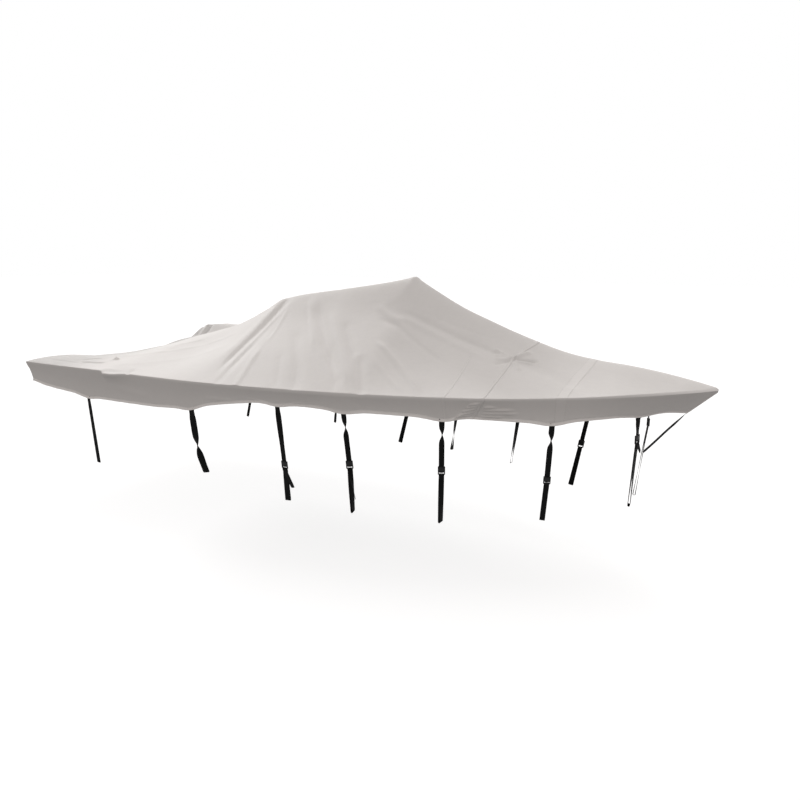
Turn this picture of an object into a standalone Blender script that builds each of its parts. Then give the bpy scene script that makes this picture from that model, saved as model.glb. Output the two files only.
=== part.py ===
"""A fitted cloth cover for an open fishing boat on its trailer, with its tie-down straps.

The cover is three cloth panels, parted at two cross seams: each is a thin shell with its top and its side
skirts in one. Seven straps hang from the hem on each side. Five of them have a buckle, and below it a doubled
loop, which goes round the trailer's frame. One more strap holds the hem at the stem.

Lengths are in metres. The tables give places in the boat's own frame: x forward from the transom, y to port,
z up from the gunwale at the stern. The part's origin is the underside of the cloth at the peak.
"""

import math
from collections import namedtuple

import bmesh
import bpy
from mathutils import Matrix, Vector
from mathutils.bvhtree import BVHTree

# Hull under the cover
LENGTH = 5.40
HALF_BEAM_STERN = 1.147
HALF_BEAM = 1.199
WIDEST_AT = 0.405  # share of the length where the beam is greatest
BOW_FULLNESS = 2.46
BOW_BLUNTNESS = 0.884
SHEER_DROP = -0.035
SHEER_RISE = 0.098
BULGE_AT = 1.10  # a small lump under the cloth at the starboard gunwale
BULGE_WIDTH = 0.13
BULGE_OUT = 0.020
BULGE_DROP = 0.024

# Cloth
CLOTH = 0.003
GAP = 0.0003
EDGE = 0.022  # bevel of the fold over the gunwale
RIDGE_RADIUS = 0.04
KNEE_SOFTNESS = 0.06
STEM_SETBACK = 0.175  # how far the hem lies aft of the tip at the stem
STEM_FROM = 4.30  # where the skirt starts to lean aft
SKIRT_LEAN = 0.05  # how far the hem lies inside the gunwale, as a share of the half beam
TRANSOM_LEAN = 0.085
BOW_END = 5.385
STEM_NOSE = 0.012  # how far the front face stands ahead of the last section
PEAK_X = 3.15

# Seams across the cover. The first bends forward at the ridge.
SEAM_1 = 4.07
SEAM_2 = 4.555
SEAM_1_AT_RIDGE = 0.10
SEAM_1_BEND = 0.33
SEAM_1_REACH = 0.5

# Straps
WEBBING = 0.002
TAB_RISE = 0.045  # how far a strap runs up inside the skirt
TAB_BELOW = 0.010  # how far it goes on straight under the hem
LOOP_AT_BUCKLE = 0.004  # between a loop's two layers
LOOP_AT_END = 0.016
LOOP_STEPS = 4
LOOP_SHARES = (0.0, 0.03, 0.25, 0.5, 0.75, 1.0)  # of the way from the buckle to the end
STRAP_SHARES = (0.05, 0.13, 0.21, 0.29, 0.37, 0.45, 0.54, 0.63, 0.72, 0.81, 0.90)
STRAIGHT = 0.012  # how far the webbing runs straight out of a buckle
TAIL_CLEAR = 0.004  # between a tail and the loop at the buckle
TWIST_SPREAD = 0.25  # share of a strap's length, either side of its twist
BUCKLE_LENGTH = 0.062
BUCKLE_WIDTH = 0.050
BUCKLE_DEPTH = 0.014
BUCKLE_BEVEL = 0.002

# The ridge's height over the gunwale, then the knee where the slope eases: its place across, as a share of
# the half beam, and its height there, as a share of the ridge's.
Section = namedtuple("Section", "x rise knee_across knee_share")
SECTIONS = (
    Section(0.00, -0.050, 0.50, 0.50),
    Section(0.27, -0.018, 0.50, 0.50),
    Section(0.66, 0.092, 0.45, 0.50),
    Section(0.86, 0.153, 0.40, 0.52),
    Section(1.40, 0.302, 0.32, 0.60),
    Section(1.74, 0.462, 0.26, 0.68),
    Section(1.90, 0.548, 0.24, 0.70),
    Section(2.06, 0.578, 0.23, 0.70),
    Section(2.51, 0.640, 0.22, 0.70),
    Section(2.95, 0.704, 0.22, 0.67),
    Section(3.10, 0.732, 0.22, 0.66),
    Section(3.15, 0.744, 0.22, 0.66),
    Section(3.20, 0.722, 0.22, 0.66),
    Section(3.32, 0.656, 0.22, 0.64),
    Section(3.57, 0.521, 0.23, 0.60),
    Section(3.75, 0.437, 0.25, 0.57),
    Section(4.06, 0.299, 0.32, 0.53),
    Section(4.40, 0.193, 0.38, 0.55),
    Section(4.61, 0.155, 0.40, 0.56),
    Section(4.82, 0.128, 0.42, 0.57),
    Section(5.02, 0.098, 0.45, 0.55),
    Section(5.22, 0.053, 0.45, 0.55),
    Section(5.40, 0.004, 0.50, 0.50),
)

# The skirt's depth below the gunwale between the straps
Skirt = namedtuple("Skirt", "x depth")
SKIRTS = (
    Skirt(0.00, 0.172),
    Skirt(0.20, 0.205),
    Skirt(0.60, 0.232),
    Skirt(1.00, 0.250),
    Skirt(1.40, 0.250),
    Skirt(1.70, 0.235),
    Skirt(2.00, 0.186),
    Skirt(2.30, 0.142),
    Skirt(2.55, 0.117),
    Skirt(2.95, 0.125),
    Skirt(3.40, 0.136),
    Skirt(4.00, 0.152),
    Skirt(4.50, 0.170),
    Skirt(4.90, 0.164),
    Skirt(5.08, 0.154),
    Skirt(5.25, 0.160),
    Skirt(5.40, 0.184),
)
STRAP_PULL = 0.022
STRAP_PULL_WIDTH = 0.11

# Folds that fan out from the low peak: a line on the plan, the half width, and the height (a trough is
# below zero). These lie on the starboard side.
Fold = namedtuple("Fold", "x0 y0 x1 y1 half_width height")
FOLDS = (
    Fold(1.86, -0.02, 1.88, -1.00, 0.075, 0.020),
    Fold(1.97, -0.10, 2.02, -1.08, 0.060, -0.026),
    Fold(2.09, -0.40, 2.27, -1.16, 0.065, 0.012),
    Fold(2.15, -0.45, 2.36, -1.16, 0.060, -0.012),
    Fold(2.30, -0.40, 2.74, -1.15, 0.085, -0.015),
    Fold(2.20, -0.10, 2.58, -0.62, 0.070, 0.012),
    Fold(2.34, -0.25, 3.05, -1.08, 0.080, -0.017),
    Fold(2.50, -0.30, 3.00, -0.95, 0.070, 0.013),
    Fold(2.66, -0.38, 3.27, -1.08, 0.080, -0.016),
    Fold(3.02, -0.60, 3.68, -0.99, 0.080, -0.015),
    Fold(3.12, -0.74, 3.54, -1.00, 0.070, 0.010),
    Fold(2.95, -0.40, 3.66, -0.55, 0.070, -0.010),
    Fold(2.90, -0.30, 4.02, -0.34, 0.060, 0.008),
)
PORT_FOLD_SHARE = 0.6

# The boxy shape under the cloth at the port quarter
LUMP_X = (0.37, 1.05)
LUMP_Y = (0.58, 0.94)
LUMP_HEIGHT = 0.205
LUMP_SLOPE = (1.5, 0.42, 0.55, 1.05)  # aft, forward, inboard and outboard, as drop over run
LUMP_SOFTNESS = 0.035

# The slack stern: the cloth stands on the deck edges and dips at the motor well
STERN_DECK = 0.030
STERN_DECK_AT = 0.82
STERN_DECK_HALF = 0.34
STERN_FADE = 1.1
MOTOR_GAP = (0.26, 0.36)  # half width of the transom skirt's cut-out, at its foot and at its top
MOTOR_SKIRT = 0.05

# The mesh: across, in shares of the half beam; down the skirt, in shares of its depth
ACROSS_STARBOARD = (0.045, 0.10, 0.16, 0.22, 0.29, 0.37, 0.46, 0.55, 0.64, 0.73, 0.82, 0.91, 1.0)
ACROSS_PORT = (0.06, 0.14, 0.24, 0.36, 0.48, 0.60, 0.72, 0.84, 0.93, 1.0)
DOWN = (0.40, 0.72, 1.0)
STEP = 0.085
FINE_STATIONS = (0.97, 1.05, 1.14, 1.23, 1.82, 1.87, 1.92, 1.97, 2.02, 2.07, 3.15, 3.21)

# The straps of the starboard side. Each runs from the hem to its buckle, and its loop from there to the end.
# Turns are the way the webbing faces, in degrees on the plan from straight outboard towards the bow: just
# under the hem, at the buckle and at the end. A half turn shows as a pinch, at a share of the strap's length.
# A strap without a buckle may have a bend.
Strap = namedtuple("Strap", "name hem_x bend buckle end width turn_hem turn_buckle turn_end twist_at")
STRAPS = (
    Strap("1", 0.703, None, None, (0.640, -1.010, -0.850), 0.038, 0, 0, 5, 0.50),
    Strap("2", 1.832, (1.783, -1.040, -0.560), None, (1.800, -0.970, -0.780), 0.050, 25, 0, -150, 0.62),
    Strap("3", 2.622, None, (2.602, -1.035, -0.585), (2.566, -0.950, -0.889), 0.040, 24, 0, 15, 0.50),
    Strap("4", 3.136, None, (3.136, -1.012, -0.515), (3.119, -0.940, -0.889), 0.038, 5, -160, -85, 0.30),
    Strap("5", 3.802, None, (3.776, -0.882, -0.500), (3.746, -0.810, -0.898), 0.038, 5, -158, -100, 0.28),
    Strap("6", 4.475, None, (4.410, -0.540, -0.570), (4.366, -0.440, -0.898), 0.038, 20, -165, -168, 0.25),
    Strap("7", 5.090, None, (4.941, -0.285, -0.275), (4.900, -0.120, -0.800), 0.038, 52, 70, 92, 0.50),
)
# Free ends that hang from a buckle: where they end, and the way they face there
Tail = namedtuple("Tail", "strap end turn")
TAILS = (
    Tail("3", (2.640, -0.990, -0.769), -5),
    Tail("4", (3.184, -1.017, -0.759), -65),
    Tail("7", (4.962, -0.238, -0.372), 85),
)
# The bow strap slants from the stem's hem to the starboard strap 7
BOW_STRAP_WIDTH = 0.025
BOW_STRAP = ((5.100, -0.080, -0.246), (5.030, -0.140, -0.325), (4.972, -0.182, -0.388))
BOW_STRAP_FACE = (0.78, -0.55, -0.29)

CLOTH_COLOUR = (0.62, 0.60, 0.58, 1.0)
WEBBING_COLOUR = (0.012, 0.012, 0.013, 1.0)
BUCKLE_COLOUR = (0.020, 0.021, 0.022, 1.0)


# ---- reading the tables ----


def read(rows, column, x):
    """A table's column at x: a smooth curve through its rows that never overshoots them."""
    xs = [row.x for row in rows]
    ys = [getattr(row, column) for row in rows]
    if x <= xs[0]:
        return ys[0]
    if x >= xs[-1]:
        return ys[-1]
    i = max(k for k in range(len(xs) - 1) if xs[k] <= x)
    steps = [(ys[k + 1] - ys[k]) / (xs[k + 1] - xs[k]) for k in range(len(xs) - 1)]

    def slope(k):
        if k == 0 or k == len(xs) - 1:
            return steps[min(k, len(steps) - 1)]
        before, after = steps[k - 1], steps[k]
        return 0.0 if before * after <= 0 else 2 * before * after / (before + after)

    h = xs[i + 1] - xs[i]
    t = (x - xs[i]) / h
    rise = (3 - 2 * t) * t * t
    return (
        ys[i] * (1 - rise)
        + ys[i + 1] * rise
        + h * t * (1 - t) * (slope(i) * (1 - t) - slope(i + 1) * t)
    )


def smooth(t):
    """0 below 0, 1 above 1, and an easy curve between."""
    t = min(max(t, 0.0), 1.0)
    return t * t * (3 - 2 * t)


def soft_max(a, b, softness):
    return (a + b + math.hypot(a - b, softness)) / 2


# ---- the surface ----


def half_beam(x):
    t = min(max(x / LENGTH, 0.0), 1.0)
    if t < WIDEST_AT:
        return HALF_BEAM_STERN + (HALF_BEAM - HALF_BEAM_STERN) * math.sin(math.pi / 2 * t / WIDEST_AT)
    u = (t - WIDEST_AT) / (1 - WIDEST_AT)
    return HALF_BEAM * (1 - u**BOW_FULLNESS) ** BOW_BLUNTNESS


def bulge(x, y):
    """How strongly the small lump pushes the cloth out, on the starboard side only."""
    return math.exp(-(((x - BULGE_AT) / BULGE_WIDTH) ** 2)) if y < 0 else 0.0


def sheer(x):
    t = x / LENGTH
    return SHEER_DROP * t + SHEER_RISE * t * t


def profile(across, knee_across, knee_share):
    """The section's height, as a share of the ridge's: steep to the knee, then easier to the gunwale."""
    steep = 1 - across * (1 - knee_share) / knee_across
    easy = knee_share * (1 - across) / (1 - knee_across)
    return min(max(soft_max(steep, easy, KNEE_SOFTNESS) - KNEE_SOFTNESS**2 / 4, 0.0), 1.0)


def fold_height(x, y):
    """What the folds add at a place on the plan. The port side has a plainer copy of them."""
    share = 1.0 if y <= 0 else PORT_FOLD_SHARE
    p = Vector((x, -abs(y)))
    total = 0.0
    for fold in FOLDS:
        start, end = Vector((fold.x0, fold.y0)), Vector((fold.x1, fold.y1))
        run = end - start
        along = (p - start).dot(run) / run.length_squared
        if not 0 < along < 1:
            continue
        off = (p - start - run * along).length / fold.half_width
        if off < 1:
            ends = smooth(along / 0.25) * smooth((1 - along) / 0.25)
            total += share * fold.height * ends * (1 - off * off) ** 2
    return total


def lump_height(x, y):
    """The boxy shape's own surface: a flat top with sloping sides."""
    aft, forward, inboard, outboard = LUMP_SLOPE
    return (
        LUMP_HEIGHT
        - aft * max(LUMP_X[0] - x, 0)
        - forward * max(x - LUMP_X[1], 0)
        - inboard * max(LUMP_Y[0] - y, 0)
        - outboard * max(y - LUMP_Y[1], 0)
    )


def top_height(x, y, beam):
    """The cloth's height over the hull at a place inside the gunwale."""
    reach = math.hypot(y, RIDGE_RADIUS) - RIDGE_RADIUS
    across = min(reach / max(beam - RIDGE_RADIUS / 2, 0.01), 1.0)
    rise = read(SECTIONS, "rise", x)
    share = profile(across, read(SECTIONS, "knee_across", x), read(SECTIONS, "knee_share", x))
    z = sheer(x) + rise * share
    deck = 1 - ((abs(y) - STERN_DECK_AT) / STERN_DECK_HALF) ** 2
    z += STERN_DECK * max(deck, 0) * (1 - smooth(x / STERN_FADE))
    z += fold_height(x, y)
    z -= BULGE_DROP * bulge(x, y) * smooth((-y / beam - 0.84) / 0.12)
    if y > 0:
        edge = smooth((beam - y) / 0.05)
        z = z + (soft_max(z, lump_height(x, y), LUMP_SOFTNESS) - z) * edge
    return z


def skirt_depth(x):
    pull = sum(math.exp(-(((x - s.hem_x) / STRAP_PULL_WIDTH) ** 2)) for s in STRAPS)
    return read(SKIRTS, "depth", x) + STRAP_PULL * pull


def seam_shift(x, y):
    """How far a section moves forward near the ridge, so that the first seam bends there."""
    near = max(0.0, 1 - abs(x - SEAM_1) / SEAM_1_REACH)
    return SEAM_1_AT_RIDGE * near * (1 - smooth(abs(y) / SEAM_1_BEND))


def top_point(x, y):
    beam = half_beam(x)
    moved = x + seam_shift(x, y)
    return Vector((moved, y, top_height(moved, y, beam)))


def side_point(x, side, down):
    """A point of the side skirt: down is 0 at the gunwale's fold and 1 at the hem."""
    beam = half_beam(x)
    setback = STEM_SETBACK * smooth((x - STEM_FROM) / (LENGTH - STEM_FROM)) * down
    pushed = bulge(x, side) * (1 - down) ** 2
    depth = EDGE + (skirt_depth(x) - EDGE) * down + BULGE_DROP * pushed
    y = side * (beam * (1 - SKIRT_LEAN * down) + BULGE_OUT * pushed)
    return Vector((x - setback, y, sheer(x) - depth))


def transom_point(y, down):
    """A point of the transom's skirt, which has a cut-out for the motor's bracket."""
    foot, top = MOTOR_GAP
    full = smooth((abs(y) - foot) / (top - foot))
    depth = EDGE + (MOTOR_SKIRT + (skirt_depth(0.0) - MOTOR_SKIRT) * full - EDGE) * down
    lean = TRANSOM_LEAN * depth / skirt_depth(0.0)
    narrow = 1 - SKIRT_LEAN * down * full
    return Vector((lean * down, y * narrow, top_height(0.0, y, half_beam(0.0)) - depth))


def stem_point(y, down):
    """A point of the narrow front face, between the side skirts."""
    depth = EDGE + (skirt_depth(BOW_END) - EDGE) * down
    setback = STEM_SETBACK * smooth((BOW_END - STEM_FROM) / (LENGTH - STEM_FROM)) * down
    return Vector((BOW_END + STEM_NOSE - setback, y, sheer(BOW_END) - depth))


# ---- the mesh ----


def stations():
    """Where the cover's cross sections stand: at the seams, beside each strap, and evenly between."""
    fixed = {EDGE, SEAM_1, SEAM_2, BOW_END, *FINE_STATIONS}
    for strap in STRAPS:
        fixed |= {round(strap.hem_x - 0.035, 4), round(strap.hem_x + 0.035, 4)}
    kept = []
    for x in sorted(fixed):
        if not kept or x - kept[-1] > 0.025:
            kept.append(x)
    out = []
    for a, b in zip(kept, kept[1:]):
        step = STEP * (1.9 if b < 1.6 else 1.0)
        count = max(1, round((b - a) / step))
        out += [a + (b - a) * k / count for k in range(count)]
    return [*out, kept[-1]]


def section(x):
    """One cross section, from the starboard hem over the top to the port hem."""
    beam = half_beam(x) - min(EDGE, half_beam(x) / 2)
    points = [side_point(x, -1, down) for down in (*reversed(DOWN), 0)]
    points += [top_point(x, -beam * across) for across in reversed(ACROSS_STARBOARD)]
    points += [top_point(x, 0.0)]
    points += [top_point(x, beam * across) for across in ACROSS_PORT]
    points += [side_point(x, 1, down) for down in (0, *DOWN)]
    return points


def end_face(bm, rows, ring, downs, point_at):
    """The skirt across one end of the cover: bevelled corners, and a strip between them."""
    skirt = len(DOWN) + 1
    top = ring[skirt:-skirt]
    grid = [top]
    for down in downs:
        grid.append([bm.verts.new(point_at(v.co.y, down)) for v in top])
    for above, below in zip(grid, grid[1:]):
        for k in range(len(top) - 1):
            rows.append((above[k], above[k + 1], below[k + 1], below[k]))
    for side, column in ((ring[skirt - 1 :: -1], 0), (ring[-skirt:], -1)):
        rows.append((grid[0][column], side[0], grid[1][column]))
        for k in range(len(side) - 1):
            rows.append((side[k], side[k + 1], grid[k + 2][column], grid[k + 1][column]))


def cover_sheet():
    """The whole cover as one sheet, with each face's panel number and each seam's points."""
    bm = bmesh.new()
    xs = stations()
    rings = [[bm.verts.new(p) for p in section(x)] for x in xs]
    panels = []
    for x, ring, ahead in zip(xs, rings, rings[1:]):
        number = (x >= SEAM_1 - 1e-6) + (x >= SEAM_2 - 1e-6)
        for k in range(len(ring) - 1):
            panels.append((number, (ring[k], ring[k + 1], ahead[k + 1], ahead[k])))
    for number, ring, point_at in ((0, rings[0], transom_point), (2, rings[-1], stem_point)):
        rows = []
        end_face(bm, rows, ring, (0, *DOWN), point_at)
        panels += [(number, row) for row in rows]
    layer = bm.faces.layers.int.new("panel")
    for number, corners in panels:
        bm.faces.new(corners)[layer] = number
    bmesh.ops.recalc_face_normals(bm, faces=bm.faces)
    bm.normal_update()
    if rings[0][len(DOWN) + 3].normal.z < 0:
        bmesh.ops.reverse_faces(bm, faces=bm.faces)
    bmesh.ops.triangulate(bm, faces=bm.faces, quad_method="SHORT_EDGE")
    bm.normal_update()
    seams = {v for x, ring in zip(xs, rings) for v in ring if min(abs(x - SEAM_1), abs(x - SEAM_2)) < 1e-6}
    return bm, layer, seams


def panel_mesh(sheet, layer, seams, number):
    """One panel as a closed shell: the outer sheet, the same sheet moved inward, and a rim."""
    faces = [f for f in sheet.faces if f[layer] == number]
    verts = [v for v in sheet.verts if any(f[layer] == number for f in v.link_faces)]
    middle = sum((f.calc_center_median().x for f in faces), 0.0) / len(faces)
    bm = bmesh.new()
    outer, inner = {}, {}
    for v in verts:
        clear = Vector((0, 0, 0))
        inward = -v.normal
        if v in seams:
            clear.x = math.copysign(GAP / 2, middle - v.co.x)
            inward.x = 0
            inward.normalize()
        outer[v] = bm.verts.new(v.co + clear)
        inner[v] = bm.verts.new(v.co + clear + inward * CLOTH * min(v.calc_shell_factor(), 1.3))
    for f in faces:
        bm.faces.new([outer[v] for v in f.verts])
        bm.faces.new([inner[v] for v in reversed(f.verts)])
        for loop in f.loops:
            if sum(other[layer] == number for other in loop.edge.link_faces) == 1:
                a, b = loop.vert, loop.link_loop_next.vert
                bm.faces.new((outer[b], outer[a], inner[a], inner[b]))
    bm.normal_update()
    return bm


def ribbon_mesh(path, sides, width, thickness=WEBBING):
    """A flat strip along a path, with the way across it given at each place."""
    bm = bmesh.new()
    rings = []
    for k, (point, across) in enumerate(zip(path, sides)):
        ahead = (path[min(k + 1, len(path) - 1)] - path[max(k - 1, 0)]).normalized()
        side = (across - ahead * across.dot(ahead)).normalized()
        out = ahead.cross(side)
        corners = ((-1, -1), (1, -1), (1, 1), (-1, 1))
        rings.append([
            bm.verts.new(point + side * width / 2 * s + out * thickness / 2 * o) for s, o in corners
        ])
    for a, b in zip(rings, rings[1:]):
        for k in range(4):
            n = (k + 1) % 4
            if k in (0, 3):
                bm.faces.new((a[k], a[n], b[n]))
                bm.faces.new((a[k], b[n], b[k]))
            else:
                bm.faces.new((a[k], a[n], b[k]))
                bm.faces.new((a[n], b[n], b[k]))
    bm.faces.new(rings[0][::-1])
    bm.faces.new(rings[-1])
    bmesh.ops.recalc_face_normals(bm, faces=bm.faces)
    return bm


# ---- objects ----


def material(name, colour, roughness):
    made = bpy.data.materials.new(name)
    made.use_nodes = True
    shader = made.node_tree.nodes["Principled BSDF"]
    shader.inputs["Base Color"].default_value = colour
    shader.inputs["Roughness"].default_value = roughness
    shader.inputs["Metallic"].default_value = 0.0
    return made


def add(name, bm, look, parent, smooth_angle=65.0):
    mesh = bpy.data.meshes.new(name)
    bm.to_mesh(mesh)
    bm.free()
    mesh.materials.append(look)
    mesh.shade_smooth()
    mesh.set_sharp_from_angle(angle=math.radians(smooth_angle))
    made = bpy.data.objects.new(name, mesh)
    bpy.context.collection.objects.link(made)
    made.parent = parent
    return made


def seat(tab, width, tree, outward):
    """How far a strap's tab moves outward so that it lies GAP from the skirt's inside."""
    low, high = tab
    along = (high - low).normalized()
    side = along.cross(outward).normalized()
    room = []
    for up in range(5):
        for across in range(-2, 3):
            start = low.lerp(high, up / 4) + side * width / 4 * across + outward * WEBBING / 2
            hit = tree.ray_cast(start, outward, 0.1)
            if hit[0] is not None:
                room.append(hit[3])
    return outward * (min(room) - GAP)


def strap_tab(strap, side, tree):
    """The two ends of the stretch that is sewn inside the skirt, and the way along the hem there."""
    share = TAB_RISE / skirt_depth(strap.hem_x)
    low = side_point(strap.hem_x, side, 1.0)
    high = side_point(strap.hem_x, side, 1.0 - share)
    ahead = side_point(strap.hem_x + 0.035, side, 1.0) - side_point(strap.hem_x - 0.035, side, 1.0)
    outward = ahead.cross(high - low).normalized()
    if outward.y * side < 0:
        outward.negate()
    inside = -outward * (CLOTH + 0.012)
    move = seat((low + inside, high + inside), strap.width, tree, outward)
    below = (low - high).normalized() * TAB_BELOW
    return low + inside + move + below, high + inside + move, ahead.normalized()


def bow_tab(tree):
    """The same for the bow strap, inside the stem's front face."""
    low = stem_point(0, 1.0)
    high = stem_point(0, 0.7)
    outward = Vector((0, 1, 0)).cross(high - low).normalized()
    if outward.x < 0:
        outward.negate()
    inside = -outward * (CLOTH + 0.012)
    move = seat((low + inside, high + inside), BOW_STRAP_WIDTH, tree, outward)
    below = (low - high).normalized() * TAB_BELOW
    return low + inside + move + below, high + inside + move


def placed(place, side):
    return Vector((place[0], -place[1] * side, place[2]))


def facing(turn, side):
    """The way across a strap that faces a given way on the plan."""
    angle = math.radians(turn)
    return Vector((math.cos(angle), -side * math.sin(angle), 0))


def upright(across, down):
    return (across - down * across.dot(down)).normalized()


def buckle_mesh():
    """The buckle's body: its strap runs along Z, and X is across it."""
    bm = bmesh.new()
    bmesh.ops.create_cube(bm, size=1.0)
    bmesh.ops.scale(bm, vec=(BUCKLE_WIDTH, BUCKLE_DEPTH, BUCKLE_LENGTH), verts=bm.verts)
    bmesh.ops.bevel(bm, geom=list(bm.edges), offset=BUCKLE_BEVEL, segments=1, affect="EDGES", profile=0.5)
    return bm


def strap_path(strap, side, tab, end, turn_end):
    """A strap's places and ways across, from its tab to its lower end."""
    low, high, ahead = tab
    start_turn = math.degrees(math.atan2(-side * ahead.y, ahead.x))
    down = (end - low).normalized()
    places = [low.lerp(end, share) for share in STRAP_SHARES]
    if strap.bend:
        aside = placed(strap.bend, side) - low.lerp(end, strap.twist_at)
        for place, share in zip(places, STRAP_SHARES):
            near = share / strap.twist_at if share < strap.twist_at else (1 - share) / (1 - strap.twist_at)
            place += aside * near
    places += [end - down * STRAIGHT, end]
    path = [high, low, *places]
    sides = [ahead, ahead]
    for share in (*STRAP_SHARES, 1.0, 1.0):
        turned = smooth((share - strap.twist_at + TWIST_SPREAD) / (2 * TWIST_SPREAD))
        turn = strap.turn_hem + (turn_end - strap.turn_hem) * turned
        turn = start_turn + (turn - start_turn) * smooth((share - 0.02) / 0.14)
        sides.append(facing(turn, side))
    return path, sides


def loop_path(strap, side, foot, across, front, down, end):
    """A doubled strap: down from the buckle, round at the end, and back up behind."""
    last = facing(strap.turn_end, side)
    run = (end - foot).normalized()
    low_across = upright(last, run)
    low_front = low_across.cross(run)
    if low_front.dot(front) < 0:
        low_front.negate()
    radius = LOOP_AT_END / 2
    centre = end - run * radius
    path, back, sides = [], [], []
    for share in LOOP_SHARES:
        apart = (LOOP_AT_BUCKLE / 2) * (1 - share) + radius * share
        out = front.lerp(low_front, share).normalized() * apart
        place = foot.lerp(centre, share) if share > 0.05 else foot + down * STRAIGHT * (share > 0)
        path.append(place + out)
        back.append(place - out)
        sides.append(across.lerp(low_across, share))
    returning = sides[::-1]
    for k in range(1, LOOP_STEPS):
        angle = math.pi * k / LOOP_STEPS
        path.append(centre + low_front * radius * math.cos(angle) + run * radius * math.sin(angle))
        sides.append(low_across)
    return path + back[::-1], sides + returning


def add_strap(strap, side, trees, looks, parent):
    word = "starboard" if side < 0 else "port"
    webbing, plastic = looks
    tab = strap_tab(strap, side, trees[(strap.hem_x > SEAM_1) + (strap.hem_x > SEAM_2)])
    end = placed(strap.end, side)
    if strap.buckle is None:
        path, sides = strap_path(strap, side, tab, end, strap.turn_end)
        add(f"strap_{strap.name}_{word}", ribbon_mesh(path, sides, strap.width), webbing, parent)
        return
    middle = placed(strap.buckle, side)
    down = (middle - tab[0]).normalized()
    top = middle - down * (BUCKLE_LENGTH / 2 + GAP)
    path, sides = strap_path(strap, side, tab, top, strap.turn_buckle)
    add(f"strap_{strap.name}_{word}", ribbon_mesh(path, sides, strap.width), webbing, parent)

    across = upright(facing(strap.turn_buckle, side), down)
    front = across.cross(down)
    if front.y * side < 0:
        front.negate()
    body = buckle_mesh()
    place = Matrix.Translation(middle) @ Matrix((across, across.cross(down), -down)).transposed().to_4x4()
    bmesh.ops.transform(body, matrix=place, verts=body.verts)
    bmesh.ops.recalc_face_normals(body, faces=body.faces)
    add(f"buckle_{strap.name}_{word}", body, plastic, parent, 25.0)

    foot = middle + down * (BUCKLE_LENGTH / 2 + GAP)
    path, sides = loop_path(strap, side, foot - front * LOOP_AT_BUCKLE / 2, across, front, down, end)
    add(f"loop_{strap.name}_{word}", ribbon_mesh(path, sides, strap.width), webbing, parent)

    for tail in TAILS:
        if tail.strap == strap.name and side < 0:
            first = foot + front * TAIL_CLEAR
            last = placed(tail.end, side)
            path = [first, first + down * STRAIGHT + front * 0.003]
            path += [path[1].lerp(last, 0.35), path[1].lerp(last, 0.7), last]
            low_across = facing(tail.turn, side)
            if low_across.dot(across) < 0:
                low_across.negate()
            sides = [across, across, across.lerp(low_across, 0.4), across.lerp(low_across, 0.8), low_across]
            add(f"tail_{strap.name}_{word}", ribbon_mesh(path, sides, strap.width * 0.96), webbing, parent)


def build():
    for old in list(bpy.data.objects):
        bpy.data.objects.remove(old)
    cloth = material("cover_cloth", CLOTH_COLOUR, 0.85)
    webbing = material("strap_webbing", WEBBING_COLOUR, 0.7)
    plastic = material("buckle_plastic", BUCKLE_COLOUR, 0.4)

    origin = bpy.data.objects.new("boat_frame", None)
    bpy.context.collection.objects.link(origin)
    origin.location = (-PEAK_X, 0, CLOTH - top_height(PEAK_X, 0.0, half_beam(PEAK_X)))

    sheet, layer, seams = cover_sheet()
    trees = []
    for number, name in enumerate(("aft_panel", "middle_panel", "bow_panel")):
        bm = panel_mesh(sheet, layer, seams, number)
        trees.append(BVHTree.FromBMesh(bm))
        add(name, bm, cloth, origin)
    sheet.free()

    for side in (-1, 1):
        for strap in STRAPS:
            add_strap(strap, side, trees, (webbing, plastic), origin)

    low, high = bow_tab(trees[2])
    run = [Vector(place) for place in BOW_STRAP]
    across = (run[-1] - run[0]).cross(Vector(BOW_STRAP_FACE)).normalized()
    if across.y < 0:
        across.negate()
    flat = Vector((0, 1, 0))
    path = [high, low, low.lerp(run[0], 0.2), low.lerp(run[0], 0.6), *run]
    sides = [flat, flat, flat.lerp(across, 0.5), across, across, across, across]
    add("bow_strap", ribbon_mesh(path, sides, BOW_STRAP_WIDTH), webbing, origin)


build()
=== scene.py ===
"""The cloth, seams, straps and buckles of a fitted boat cover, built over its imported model.

Lengths are in metres. The tables give places in the boat's own frame: x forward from the transom, y to port,
z up from the gunwale at the stern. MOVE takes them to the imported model's frame, whose origin is the underside
of the cloth at the peak.
"""

import math
from collections import namedtuple

import bmesh
import bpy
import numpy as np
from bpy.props import FloatProperty, FloatVectorProperty, PointerProperty
from mathutils import Matrix, Vector


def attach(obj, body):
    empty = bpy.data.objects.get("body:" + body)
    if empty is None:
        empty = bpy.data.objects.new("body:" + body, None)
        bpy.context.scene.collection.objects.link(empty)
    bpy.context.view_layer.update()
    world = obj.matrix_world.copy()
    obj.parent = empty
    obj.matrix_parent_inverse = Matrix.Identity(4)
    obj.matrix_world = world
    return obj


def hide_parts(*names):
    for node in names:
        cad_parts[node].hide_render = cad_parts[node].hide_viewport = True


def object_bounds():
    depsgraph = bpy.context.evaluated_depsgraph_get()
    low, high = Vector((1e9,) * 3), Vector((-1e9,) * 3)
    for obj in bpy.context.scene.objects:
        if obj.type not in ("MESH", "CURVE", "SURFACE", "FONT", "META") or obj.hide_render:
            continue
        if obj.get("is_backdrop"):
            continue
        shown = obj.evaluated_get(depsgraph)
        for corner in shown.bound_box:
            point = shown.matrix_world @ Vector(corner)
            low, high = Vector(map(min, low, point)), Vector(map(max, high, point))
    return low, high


bl_info = {
    "name": "Fitted boat cover",
    "version": (1, 0, 0),
    "blender": (4, 5, 0),
    "location": "View3D > Sidebar > Boat cover",
    "description": "Builds a fitted boat cover's cloth, seams, straps and buckles",
    "category": "Object",
}

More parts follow.
